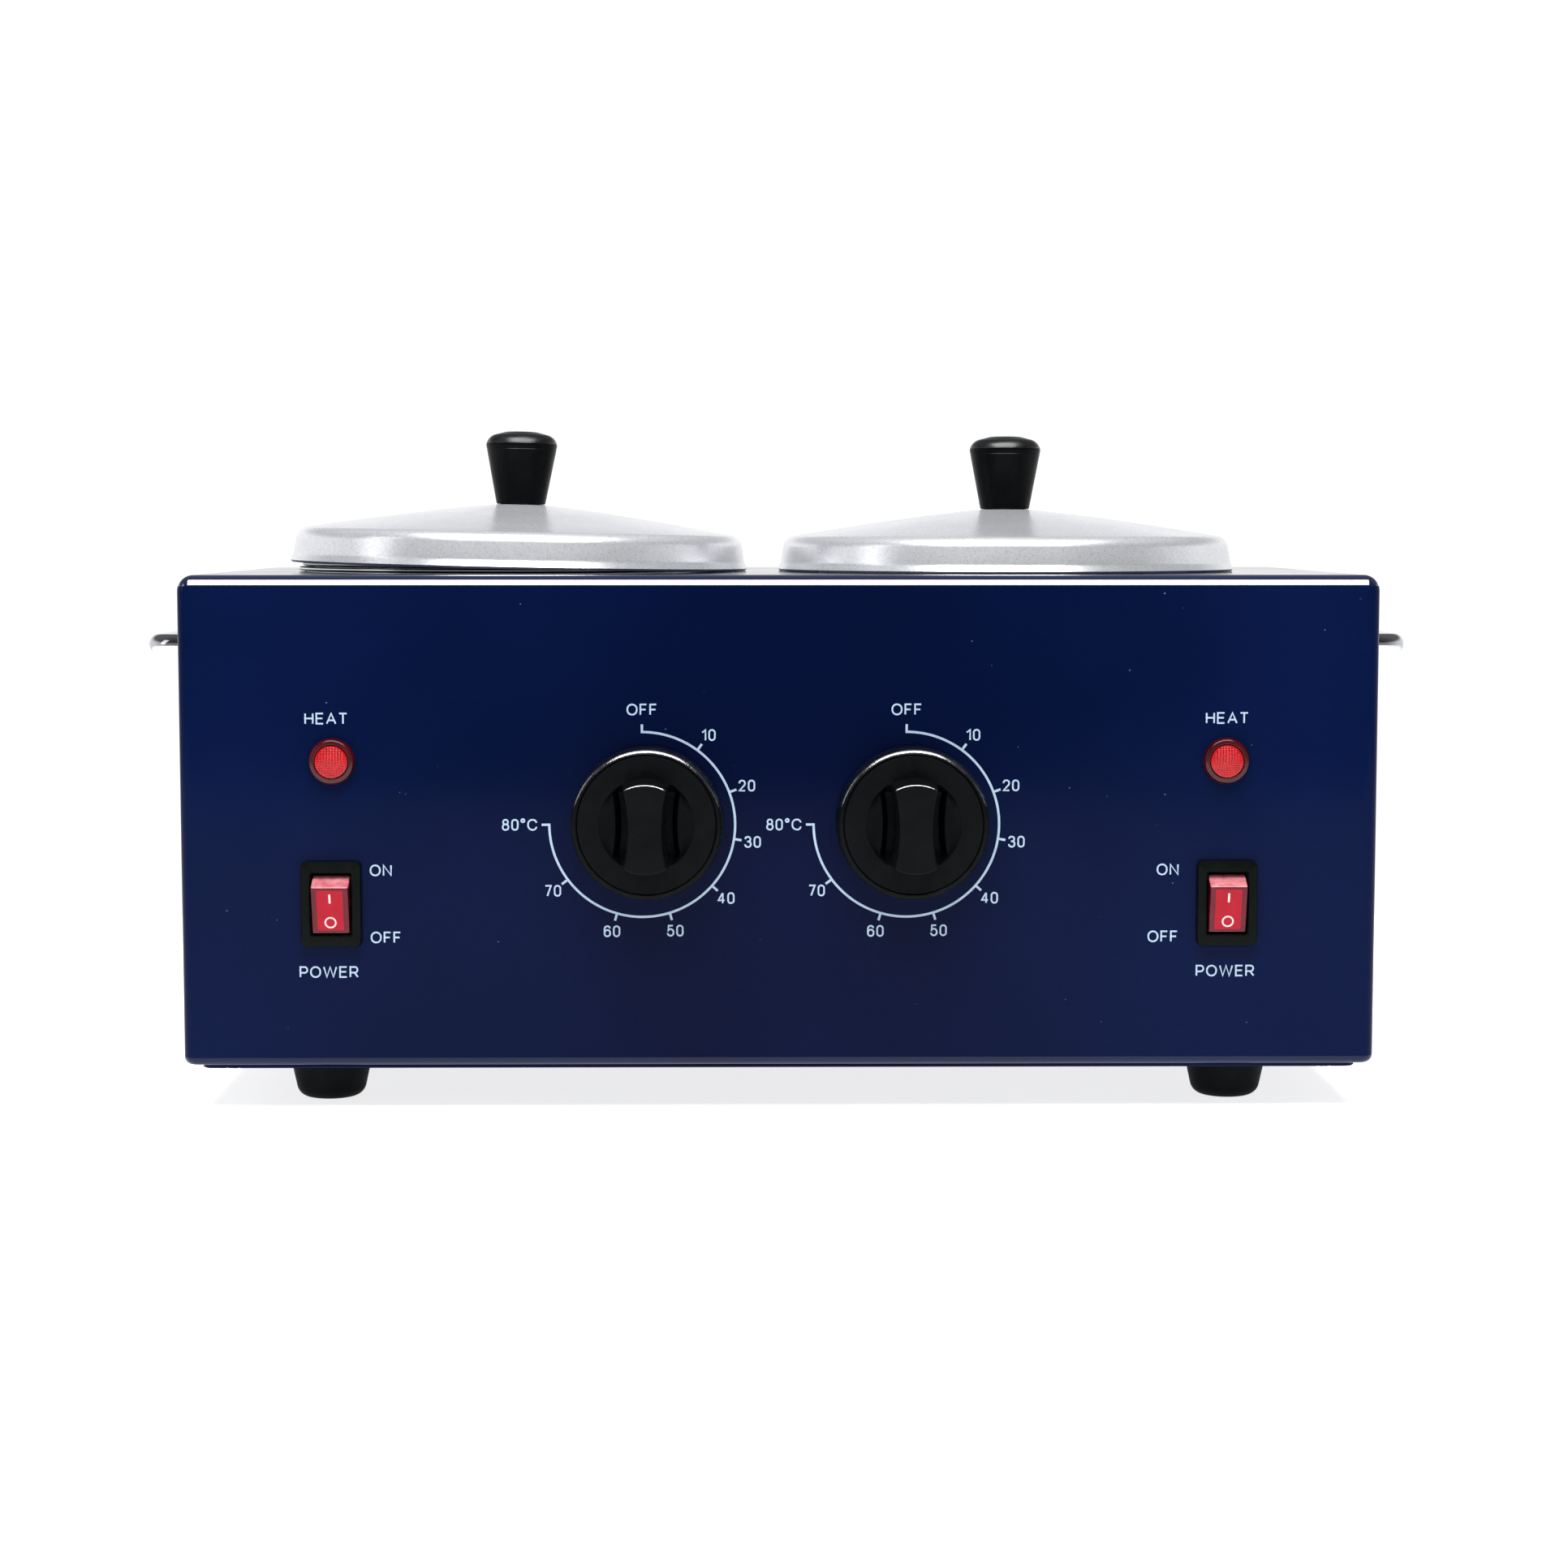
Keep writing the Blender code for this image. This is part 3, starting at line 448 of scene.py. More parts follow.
def make_materials():
    """Every finish by its name. The black plastics and the paint reflect less than real ones,
    and the chrome is darker, to match the photograph."""
    phenolic = ((0.0010, 0.0014, 0.0018), (0.0020, 0.0026, 0.0031))
    plastic = {"IOR": 1.12}
    metal = {"Metallic": 1.0}
    return {
        "paint": navy_paint(),
        "paint_top_bend": bent_paint("enamel_top_bend", IOR=1.75, Coat_Weight=1.0, Coat_IOR=1.6),
        "paint_low_bend": bent_paint("enamel_low_bend", IOR=1.27),
        "frosted": frosted_aluminium(),
        "painted_glow_panel": painted_glow_panel(),
        "drawn": surfaced("drawn_aluminium", ((0.66, 0.67, 0.68), (0.70, 0.71, 0.72)),
                          (0.27, 0.30), 30, spun_rings, 0.006, **metal),
        "rocker_top": surfaced("rocker_frosted", ((0.34, 0.05, 0.07), (0.48, 0.18, 0.20)),
                               (0.28, 0.42), 500, 2300, 0.030, IOR=1.5),
        "chrome": surfaced("polished_chrome", ((0.44, 0.45, 0.47), (0.50, 0.51, 0.53)),
                           (0.03, 0.07), 60, 700, 0.0003, **metal),
        "zinc": surfaced("zinc_plate", ((0.50, 0.51, 0.53), (0.62, 0.63, 0.65)),
                         (0.25, 0.40), 300, 1500, 0.003, **metal),
        "band": surfaced("rolled_steel", ((0.36, 0.34, 0.30), (0.46, 0.43, 0.38)),
                         (0.35, 0.55), 80, 900, 0.004, **metal),
        "copper": surfaced("copper_tube", ((0.62, 0.30, 0.17), (0.72, 0.38, 0.23)),
                           (0.28, 0.42), 150, 1200, 0.002, **metal),
        "brass": surfaced("stamped_brass", ((0.66, 0.48, 0.20), (0.76, 0.58, 0.28)),
                          (0.20, 0.35), 200, 1200, 0.002, **metal),
        "ceramic": surfaced("steatite", ((0.64, 0.61, 0.54), (0.74, 0.71, 0.64)),
                            (0.45, 0.60), 120, 1400, 0.010),
        "sleeve": surfaced("glass_sleeve", ((0.48, 0.45, 0.38), (0.62, 0.59, 0.52)),
                           (0.70, 0.85), 800, 1600, 0.15),
        "rubber": surfaced("moulded_rubber", ((0.0025, 0.0031, 0.0034), (0.0048, 0.0056, 0.0060)),
                           (0.50, 0.62), 120, 1500, 0.006, **plastic),
        "lid_knob": surfaced("knob_phenolic", phenolic, (0.24, 0.36), 150, 1900, 0.005, **plastic),
        "knob_crown": surfaced("knob_crown", phenolic, (0.26, 0.38), 150, 1900, 0.010, IOR=1.5),
        "dial": surfaced("dial_moulding", ((0.0016, 0.0021, 0.0026), (0.0028, 0.0035, 0.0041)),
                         (0.30, 0.42), 200, 2400, 0.012, **plastic),
        # dial_rim is the dial finish made a little lighter and much shinier, for the edges that
        # face up: a painted highlight.
        "dial_rim": surfaced("dial_rim", ((0.0020, 0.0025, 0.0030), (0.0034, 0.0041, 0.0047)),
                             (0.12, 0.20), 200, 3000, 0.045, IOR=2.6),
        "bezel": surfaced("switch_moulding", ((0.0016, 0.0028, 0.0025), (0.0030, 0.0042, 0.0038)),
                          (0.24, 0.36), 150, 2200, 0.006, **plastic),
        "rocker": surfaced("rocker_clear_red", ((0.07, 0.002, 0.009), (0.11, 0.003, 0.012)),
                           (0.08, 0.16), 150, 900, 0.001, IOR=1.3),
        # The lens's faint emission is a painted glow standing in for light through the clear red
        # plastic.
        "lamp": surfaced("lamp_clear_red", ((0.22, 0.002, 0.004), (0.33, 0.003, 0.006)),
                         (0.10, 0.18), 700, 1500, 0.002, IOR=1.35,
                         Emission_Color=(0.8, 0.004, 0.008, 1), Emission_Strength=0.10),
        "lamp_rim": surfaced("lamp_dark_red", ((0.022, 0.0012, 0.002), (0.055, 0.002, 0.0035)),
                             (0.10, 0.20), 220, 1500, 0.002, IOR=1.36),
        "ink": surfaced("print_ink", ((0.27, 0.36, 0.48), (0.33, 0.42, 0.53)),
                        (0.35, 0.50), 500, 2500, 0.002),
        "mark": surfaced("white_mark", ((0.48, 0.42, 0.42), (0.56, 0.50, 0.50)),
                         (0.30, 0.45), 500, 2500, 0.002),
    }


MATERIALS = make_materials()


# The box.


def housing_shell():
    """The folded sheet: its section runs from the top over the bends and back up inside."""
    top_bend = 4 * MM
    bottom_bend = 2 * MM
    corner = 3.6 * MM
    return_width = 12 * MM
    flat = top_bend + 1 * MM
    low = SHELL_LOW.z
    high = SHELL_HIGH.z
    edge = 0.3 * MM
    section = filleted([
        (flat, high),
        (0, high, top_bend),
        (0, low, bottom_bend),
        (return_width, low, edge),
        (return_width, low + SHEET, edge),
        (SHEET, low + SHEET, bottom_bend - SHEET),
        (SHEET, high - SHEET, top_bend - SHEET),
        (flat, high - SHEET),
    ])
    size = (SHELL_HIGH - SHELL_LOW).xy
    rings = [(size, inset, max(corner - inset, 0.2 * MM), height) for inset, height in section]
    shell = moulding("painted_housing", rings, upright(MIDDLE.x, MIDDLE.y))
    combine(shell, housing_holes(), "DIFFERENCE")
    fit_out(shell, "root", "navy_paint", "paint", "housing_shell")

    def on_top_bend(face):
        return 0.30 < face.normal.z < 0.995 and face.center.z > high - top_bend

    def on_low_bend(face):
        return -0.995 < face.normal.z < -0.02 and face.center.z < low + bottom_bend

    refinish(shell, "paint_top_bend", on_top_bend)
    refinish(shell, "paint_low_bend", on_low_bend)


def housing_holes():
    """Cutters for the wells, the panel fittings, the inlet, the handles and the screws."""
    reach = 5 * MM
    cutters = []

    def bore(name, radius, place, steps=SMALL_STEPS):
        cutters.append(cylinder(name, radius, reach, place, steps))

    def window(name, half_width, half_height, place):
        half = Vector((half_width, half_height, reach))
        cutters.append(block(name, -half, half, place))

    for side, sign in SIDES:
        well = centre_of("well_" + side)
        bore("well_cut_" + side, 58 * MM, upright(well.x, well.y, SHELL_HIGH.z), ROUND_STEPS)
        dial = hinge_at(f"knob_{side}_turn")
        bore("bush_cut_" + side, 5 * MM, on_front(dial.x, dial.z))
        lamp = centre_of("lamp_lens_" + side)
        bore("lamp_cut_" + side, 5.1 * MM, on_front(lamp.x, lamp.z))
        switch = hinge_at(f"rocker_{side}_tilt")
        window("switch_cut_" + side, 6.6 * MM, 9.7 * MM, on_front(switch.x, switch.z))
        low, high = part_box("side_handle_" + side)
        wall = SHELL_LOW.x if sign < 0 else SHELL_HIGH.x
        radius = (high.z - low.z) / 2
        across = Matrix.Rotation(math.pi / 2, 4, "Y")
        for y in (low.y + radius, high.y - radius):
            place = upright(wall, y, (low.z + high.z) / 2) @ across
            bore(f"handle_cut_{side}_{y:.3f}", radius + GAP, place)
    inlet = centre_of("power_inlet")
    window("inlet_cut", 13.8 * MM, 10.1 * MM, on_back(inlet.x, inlet.z))
    for end in ENDS:
        screw = centre_of("plate_screw_" + end)
        bore("screw_cut_" + end, 2.1 * MM, upright(screw.x, screw.y, SHELL_LOW.z))
    return cutters


def base_plate():
    """The bottom plate, with round-ended vents under each well and sunk screw holes."""
    size = (PLATE_HIGH - PLATE_LOW).xy
    edge = 0.25 * MM
    corner = 3 * MM
    rings = [(size, edge, corner - edge, PLATE_HIGH.z), (size, 0, corner, PLATE_HIGH.z - edge),
             (size, 0, corner, PLATE_LOW.z + edge), (size, edge, corner - edge, PLATE_LOW.z)]
    plate = moulding("painted_base_plate", rings, upright(MIDDLE.x, MIDDLE.y))
    cutters = []
    pitch = 13 * MM
    vent = rounded_rectangle(4 * MM, 30 * MM, 1.9 * MM)
    for side, _ in SIDES:
        well = centre_of("well_" + side)
        for i in range(5):
            place = upright(well.x + (i - 2) * pitch, well.y)
            cutters.append(prism(f"vent_{side}_{i}", vent, 5 * MM, 16 * MM, place))
    for end in ENDS:
        foot = centre_of("foot_" + end)
        cutters.append(cylinder("foot_cut_" + end, 2.3 * MM, 5 * MM,
                                upright(foot.x, foot.y, PLATE_LOW.z)))
        screw = centre_of("plate_screw_" + end)
        shank = 1.95 * MM
        above = PLATE_HIGH.z + SHEET
        below = PLATE_LOW.z - SHEET
        sink = [(0, above), (shank, above), (shank, PLATE_LOW.z + 1.4 * MM),
                (4.35 * MM, below), (0, below)]
        cutters.append(turned("sink_cut_" + end, sink, upright(screw.x, screw.y), SMALL_STEPS))
    combine(plate, cutters, "DIFFERENCE")
    fit_out(plate, "root", "navy_paint", "paint", "base_plate")


def feet():
    """Round rubber feet, tapered towards the ground, with the screw's recess below."""
    for end in ENDS:
        node = "foot_" + end
        low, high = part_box(node)
        middle = (low + high) / 2
        radius = (high.x - low.x) / 2
        top = high.z
        recess = 4.6 * MM
        recess_top = 5 * MM
        bore = 2.3 * MM
        profile = filleted([
            (radius, top, 0.3 * MM),
            (radius - 0.15 * MM, top - 1.8 * MM, 2 * MM),
            (radius - 2.0 * MM, 0, 3.4 * MM),
            (recess, 0, 0.3 * MM),
            (recess, recess_top, 0.2 * MM),
            (bore, recess_top),
            (bore, top),
        ], closed=True)
        foot = turned("rubber_" + node, profile, upright(middle.x, middle.y), SMALL_STEPS,
                      closed=True)
        fit_out(foot, "root", "foot_rubber", "rubber", node)


def side_handles():
    """A bent chrome rod on each side."""
    for side, sign in SIDES:
        node = "side_handle_" + side
        low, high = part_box(node)
        radius = (high.z - low.z) / 2
        reach = (high.x - SHELL_HIGH.x if sign > 0 else SHELL_LOW.x - low.x) - radius
        spread = (high.y - low.y) / 2 - radius
        bend = 8 * MM
        inside = -13 * MM
        tip = 0.6 * MM
        corners = [(inside, spread), (reach, spread, bend), (reach, -spread, bend),
                   (inside, -spread)]
        line = [Vector((x, y, 0)) for x, y in filleted(corners)]
        wall = SHELL_HIGH.x if sign > 0 else SHELL_LOW.x
        place = upright(wall, MIDDLE.y, (low.z + high.z) / 2)
        if sign < 0:
            place = place @ Matrix.Rotation(math.pi, 4, "Z")
        handle = rod("chrome_handle_" + side, line, radius, place)
        bevel(handle, tip)
        fit_out(handle, "root", "chrome", "chrome", node)


# Wells, pots and lids.


def wells_and_pots():
    """The wells are fixed in the top, and each holds a loose pot with a beaded rim."""
    for side, _ in SIDES:
        low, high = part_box("well_" + side)
        place = upright((low.x + high.x) / 2, (low.y + high.y) / 2)
        inner = 56.5 * MM
        outer = inner + SHEET
        flange = (high.x - low.x) / 2
        well = turned("spun_well_" + side, filleted([
            (0, low.z + SHEET),
            (inner, low.z + SHEET, 3 * MM),
            (inner, high.z, 0.6 * MM),
            (flange, high.z, 0.45 * MM),
            (flange, high.z - SHEET, 0.45 * MM),
            (outer, high.z - SHEET, 0.2 * MM),
            (outer, low.z, 4 * MM),
            (0, low.z),
        ]), place)
        fit_out(well, "root", "drawn_aluminium", "drawn", "well_" + side)

        low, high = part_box("insert_pot_" + side)
        sheet = 1.2 * MM
        inner = 54 * MM
        outer = inner + sheet
        bead = (high.x - low.x) / 2
        bead_low = SHELL_HIGH.z + 1.6 * MM
        bead_high = bead_low + 1 * MM
        round_over = 0.55 * MM
        pot = turned("spun_pot_" + side, filleted([
            (0, low.z + sheet),
            (inner, low.z + sheet, 4 * MM),
            (inner, high.z, round_over),
            (outer, high.z, round_over),
            (outer, bead_high, 0.3 * MM),
            (bead, bead_high, 0.48 * MM),
            (bead, bead_low, 0.48 * MM),
            (outer, bead_low, 0.3 * MM),
            (outer, low.z, 5 * MM),
            (0, low.z),
        ]), place)
        fit_out(pot, "pot_" + side, "drawn_aluminium", "drawn", "insert_pot_" + side)


LID_RADIUS = 62 * MM
LID_SHOULDER_RADIUS = 59.6 * MM
LID_SHEET = 1.2 * MM
LID_BOTTOM = SHELL_HIGH.z + 0.4 * MM
LID_APEX = 152 * MM
LID_CROWN = 7.9 * MM
LID_CROWN_POWER = 1.3
LEFT_LID_TILT = math.radians(1.2)


def crown_height(radius):
    return LID_APEX - LID_CROWN * (radius / LID_SHOULDER_RADIUS) ** LID_CROWN_POWER


def lid_place(side):
    """The lid's frame. The left lid is turned about the edge where its skirt touches the top."""
    well = centre_of("well_" + side)
    if side == "right":
        return upright(well.x, well.y)
    seat = upright(well.x + LID_RADIUS, well.y, LID_BOTTOM)
    tilt = Matrix.Rotation(LEFT_LID_TILT, 4, "Y")
    return seat @ tilt @ upright(-LID_RADIUS, 0, -LID_BOTTOM)


def lid_section():
    """The lid's outer line: a low crown, a round knee, and a skirt that flares at its edge."""
    hole = 2.3 * MM
    last = 54 * MM
    rings = 14
    radii = [hole + (last - hole) * i / rings for i in range(rings + 1)]
    crown = [(radius, crown_height(radius)) for radius in radii]
    knee = 59.9 * MM
    skirt = [
        (knee, crown_height(knee) - 0.05 * MM, 3.4 * MM),
        (61.0 * MM, LID_BOTTOM + 1.9 * MM, 3 * MM),
        (LID_RADIUS - 0.25 * MM, LID_BOTTOM + 0.2 * MM),
    ]
    return filleted(crown + skirt)


def lids():
    line = lid_section()
    inner = []
    for i, point in enumerate(line):
        along = (line[min(i + 1, len(line) - 1)] - line[max(i - 1, 0)]).normalized()
        inner.append(point + Vector((along.y, -along.x)) * LID_SHEET)
    lip = (line[-1] + inner[-1]) / 2 + (line[-1] - line[-2]).normalized() * 0.35 * MM
    profile = line + [lip] + inner[::-1]
    for side, _ in SIDES:
        place = lid_place(side)
        lid = turned("frosted_lid_" + side, profile, place, closed=True)
        fit_out(lid, "lid_" + side, "frosted_aluminium", "frosted", "lid_" + side)
        lid_knob(side, place)


def lid_knob(side, place):
    """A tapered knob with a round crown and the faint line where its mould parted."""
    base = LID_APEX + 0.05 * MM
    top = LID_APEX + GAP + 19 * MM
    bore = 2.3 * MM
    bore_top = base + 12 * MM
    foot = 6.6 * MM
    widest = 9.68 * MM
    parting = top - 4.6 * MM
    line = 0.08 * MM
    outline = filleted([
        (0, top),
        (4.0 * MM, top, 6 * MM),
        (8.7 * MM, top - 1.25 * MM, 3.4 * MM),
        (widest, top - 3.5 * MM, 1.9 * MM),
        (9.46 * MM, parting),
        (9.38 * MM, parting - line),
        (9.43 * MM, parting - 2 * line),
        (foot, crown_height(foot) + 0.08 * MM, 0.5 * MM),
        (bore, base, 0.2 * MM),
        (bore, bore_top),
        (0, bore_top),
    ])
    knob = turned("turned_knob_" + side, outline, place, SMALL_STEPS)
    fit_out(knob, "lid_" + side, "lid_knob_plastic", "lid_knob", "lid_knob_" + side)
    refinish(knob, "knob_crown", lambda face: face.normal.z > 0.25)


# Dial knobs.


GRIP_RADIUS = 11.85 * MM
GRIP_END_WIDTH = 11.9 * MM
GRIP_WAIST_WIDTH = 9.2 * MM
DIAL_FACE = 10 * MM
GRIP_HALF_LENGTH = math.sqrt(GRIP_RADIUS**2 - (GRIP_END_WIDTH / 2) ** 2)


def grip_half_width(y):
    t = y / GRIP_HALF_LENGTH
    return (GRIP_WAIST_WIDTH + (GRIP_END_WIDTH - GRIP_WAIST_WIDTH) * t * t) / 2


def grip_outline(shrink):
    """The grip in plan, drawn in by shrink: waisted sides, and ends on the inner circle."""
    side_steps = 18
    end_steps = 10
    half = GRIP_HALF_LENGTH - shrink
    right = []
    for i in range(side_steps + 1):
        y = half * (2 * i / side_steps - 1)
        right.append(Vector((grip_half_width(y) - shrink, y)))
    reach = right[-1].x
    radius = math.hypot(reach, half)
    angle = math.atan2(reach, half)
    top = arc(radius, angle, -angle, end_steps)[1:-1]
    upper = right + top
    return upper + [-point for point in upper]


def scoop_cutter(name, sign, matrix):
    """The hollow beside the grip: a deep trough along the grip, then a bank and a shallow dish."""
    stations = 28
    steps = 7
    depth = 4.6 * MM
    lip = 0.22 * MM
    dish = 0.75 * MM
    trough = 1.7 * MM
    bank = 1.4 * MM
    rise = 2 * MM
    overlap = 0.5 * MM
    rings = []
    for i in range(stations + 1):
        y = GRIP_HALF_LENGTH * 0.97 * (2 * i / stations - 1)
        inner = grip_half_width(y)
        outer = math.sqrt(GRIP_RADIUS**2 - y * y)
        span = outer - inner
        squeeze = min(1, 0.85 * span / (trough + bank))
        shallow = lip + (dish - lip) * squeeze
        floor = max(depth * squeeze, shallow)
        foot = trough * squeeze
        crest = (trough + bank) * squeeze
        section = [(-overlap, floor)]
        for k in range(steps + 1):
            t = k / steps
            fall = 0.5 + 0.5 * math.cos(math.pi * t)
            section.append((foot + (crest - foot) * t, shallow + (floor - shallow) * fall))
        for k in range(1, steps + 1):
            t = k / steps
            sunk = lip + (shallow - lip) * math.cos(math.pi / 2 * t)
            section.append((crest + (span - crest) * t, sunk))
        ring = [(sign * (inner + away), y, DIAL_FACE - sunk) for away, sunk in section]
        ring.append((sign * outer, y, DIAL_FACE + rise))
        ring.append((sign * (inner - overlap), y, DIAL_FACE + rise))
        rings.append(ring)
    return lofted(name, rings, matrix)


def dial_knobs():
    """Each knob is one moulding with its grip. Its raised edges that face up take a slightly
    lighter, shinier copy of the finish as a painted highlight.
    """
    for side, _ in SIDES:
        node = "dial_knob_" + side
        body = "knob_" + side
        low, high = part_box(node)
        axis = hinge_at(f"knob_{side}_turn")
        matrix = on_front(axis.x, axis.z)
        radius = (high.x - low.x) / 2
        groove = 17.25 * MM
        groove_half = 0.22 * MM
        wall = 1.8 * MM
        ceiling = 4.4 * MM
        reach = FRONT - low.y
        start = FRONT - high.y
        profile = filleted([
            (0, DIAL_FACE),
            (groove - groove_half, DIAL_FACE, 0.12 * MM),
            (groove, DIAL_FACE - 0.5 * MM),
            (groove + groove_half, DIAL_FACE, 0.12 * MM),
            (radius - 0.35 * MM, DIAL_FACE - 0.25 * MM, 1.25 * MM),
            (radius, start, 0.3 * MM),
            (radius - wall, start, 0.3 * MM),
            (radius - wall, ceiling, 1 * MM),
            (0, ceiling),
        ])
        knob = turned("moulded_" + node, profile, matrix)
        cutters = [scoop_cutter(f"{node}_scoop_{sign}", sign, matrix) for sign in (-1, 1)]
        cutters.append(cylinder(node + "_bore", 3.3 * MM, 6 * MM, matrix))
        combine(knob, cutters, "DIFFERENCE")
        rings = [ring_at(grip_outline(0), ceiling + 0.2 * MM),
                 ring_at(grip_outline(0.1 * MM), DIAL_FACE),
                 ring_at(grip_outline(0.55 * MM), reach)]
        grip = lofted(node + "_grip", rings, matrix)
        bevel(grip, 0.45 * MM, 4, math.radians(50))
        combine(knob, [grip], "UNION")
        fit_out(knob, body, "dial_plastic", "dial", node)

        inverse = matrix.inverted()
        turn_back = inverse.to_3x3()
        edge_start = reach - 0.6 * MM

        # The edges that face up get the lighter copy of the finish: a painted highlight.
        def is_bright_edge(face):
            middle = inverse @ face.center
            outward = (turn_back @ face.normal).z
            on_rim = middle.xy.length > groove + groove_half and middle.z > start
            faces_up = face.normal.z > 0.2 and 0.02 < outward < 0.985
            return faces_up and (on_rim or middle.z > edge_start)

        refinish(knob, "dial_rim", is_bright_edge)
        tip = 16.1 * MM
        back = 13.2 * MM
        half = 1.25 * MM
        arrow = prism("knob_pointer_" + side, [(0, tip), (-half, back), (half, back)],
                      DIAL_FACE - 0.1 * MM, DIAL_FACE + 0.15 * MM, matrix)
        bevel(arrow, 0.06 * MM, 2)
        fit_out(arrow, body, "dial_plastic", "dial")


# Lamps.


def pilot_lamps():
    for side, _ in SIDES:
        node = "lamp_lens_" + side
        low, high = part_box(node)
        middle = (low + high) / 2
        matrix = on_front(middle.x, middle.z)
        radius = (high.x - low.x) / 2
        face_radius = 4.15 * MM
        seat = 1.2 * MM
        stem = 3.3 * MM
        stem_end = -5 * MM
        rim = turned("lamp_rim_" + side, filleted([
            (0, seat),
            (face_radius, seat, 0.1 * MM),
            (face_radius + 0.15 * MM, 2.25 * MM, 0.15 * MM),
            (radius - 0.45 * MM, 2.15 * MM, 0.55 * MM),
            (radius, GAP, 0.15 * MM),
            (stem, GAP, 0.2 * MM),
            (stem, stem_end, 0.3 * MM),
            (0, stem_end),
        ]), matrix, SMALL_STEPS)
        fit_out(rim, "root", "lamp_plastic", "lamp_rim", node)
        face = beaded_face("lamp_face_" + side, face_radius - 0.12 * MM, matrix)
        fit_out(face, "root", "lamp_plastic", "lamp")


def beaded_face(name, radius, matrix):
    """A domed disc whose face carries upright columns of small beads."""
    pitch = 0.72 * MM
    bead = 0.16 * MM
    edge = 1.3 * MM
    dome_edge = 2.35 * MM
    dome = 0.6 * MM
    ring_steps = 52
    around = 160
    angles = [math.tau * k / around for k in range(around)]
    rings = [[(radius * math.cos(a), radius * math.sin(a), edge) for a in angles]]
    for i in range(ring_steps + 1):
        r = radius * (1 - i / ring_steps)
        share = 1 - (r / radius) ** 2
        ring = []
        for angle in angles if i < ring_steps else angles[:1]:
            x = r * math.cos(angle)
            y = r * math.sin(angle)
            column = 0.5 + 0.5 * math.cos(math.tau * x / pitch)
            row = 0.5 + 0.5 * math.cos(math.tau * y / (pitch * 0.8))
            height = dome_edge + dome * share + bead * column * row * min(1, 4 * share)
            ring.append((x, y, height))
        rings.append(ring)
    return lofted(name, rings, matrix)


# Switches.


def switches():
    for side, _ in SIDES:
        pivot = hinge_at(f"rocker_{side}_tilt")
        matrix = on_front(pivot.x, pivot.z)
        switch_body(side, matrix)
        inset = pivot.y - FRONT
        tilt = Matrix.Rotation(math.radians(14), 4, "X")
        rocker(side, matrix @ upright(0, 0, -inset) @ tilt)


def switch_body(side, matrix):
    """The case with its bezel. The section starts at the opening's floor."""
    node = "switch_body_" + side
    mouth = (9.8 * MM, 15.5 * MM)
    bezel = (15 * MM, 21.5 * MM)
    case = (12.6 * MM, 18.8 * MM)
    front = 2.3 * MM
    sections = [
        (mouth, 0, 0.4 * MM, -6 * MM),
        (mouth, 0, 0.4 * MM, front - 0.9 * MM),
        (mouth, -0.12 * MM, 0.5 * MM, front - 0.4 * MM),
        (mouth, -0.45 * MM, 0.8 * MM, front),
        (bezel, 0.65 * MM, 0.9 * MM, front),
        (bezel, 0.20 * MM, 1.3 * MM, front - 0.18 * MM),
        (bezel, 0, 1.5 * MM, front - 0.65 * MM),
        (bezel, 0, 1.5 * MM, GAP),
        (case, 0, 0.5 * MM, GAP),
        (case, 0, 0.5 * MM, -16 * MM),
    ]
    body = moulding("switch_case_" + side, sections, matrix)
    tabs = []
    for i in (-1, 0, 1):
        low = (-2.4 * MM, i * 6.5 * MM - 0.4 * MM, -23 * MM)
        high = (2.4 * MM, i * 6.5 * MM + 0.4 * MM, -15 * MM)
        tabs.append(block(f"switch_tab_{side}_{i}", low, high, matrix))
    combine(body, tabs, "UNION")
    across = matrix @ upright(0, 0, -1.5 * MM) @ Matrix.Rotation(math.pi / 2, 4, "Y")
    combine(body, [cylinder("axle_cut_" + side, 1.4 * MM, 5.9 * MM, across)], "DIFFERENCE")
    fit_out(body, "root", "switch_plastic", "bezel", node)


ROCKER_FRONT = 5.2 * MM


def rocker(side, matrix):
    """The rocker in its own frame about the pivot: local Y is up its face and Z is outwards."""
    half_width = 4.6 * MM
    face_half = 6 * MM
    belly = 7.4 * MM
    sideways = matrix @ Matrix.Rotation(math.pi / 2, 4, "Z") @ Matrix.Rotation(math.pi / 2, 4, "X")
    profile = filleted([
        (face_half, ROCKER_FRONT, 0.5 * MM),
        (belly, 0, 0.4 * MM),
        (face_half, -2 * MM, 0.3 * MM),
        (-face_half, -2 * MM, 0.3 * MM),
        (-belly, 0, 0.4 * MM),
        (-face_half, ROCKER_FRONT, 0.5 * MM),
    ], closed=True)
    shell = prism("rocker_shell_" + side, profile, -half_width, half_width, sideways)
    bevel(shell, 0.3 * MM, 3, math.radians(60))
    combine(shell, [cylinder("rocker_axle_" + side, 1.1 * MM, 5.6 * MM, sideways)], "UNION")
    body = "rocker_" + side
    fit_out(shell, body, "rocker_plastic", "rocker", "rocker_" + side)
    inverse = matrix.inverted()

    def on_frosted_end(face):
        middle = inverse @ face.center
        return abs(middle.y) > face_half - 0.1 * MM and middle.z > 1.2 * MM

    refinish(shell, "rocker_top", on_frosted_end)
    outline = rounded_rectangle(6.6 * MM, 10.6 * MM, 0.5 * MM)
    # The inner panel carries the painted glow of the red plastic.
    panel = prism("rocker_lit_panel_" + side, outline, ROCKER_FRONT - 0.2 * MM,
                  ROCKER_FRONT + 0.06 * MM, matrix)
    fit_out(panel, body, "rocker_plastic", "painted_glow_panel")
    marks(side, matrix)


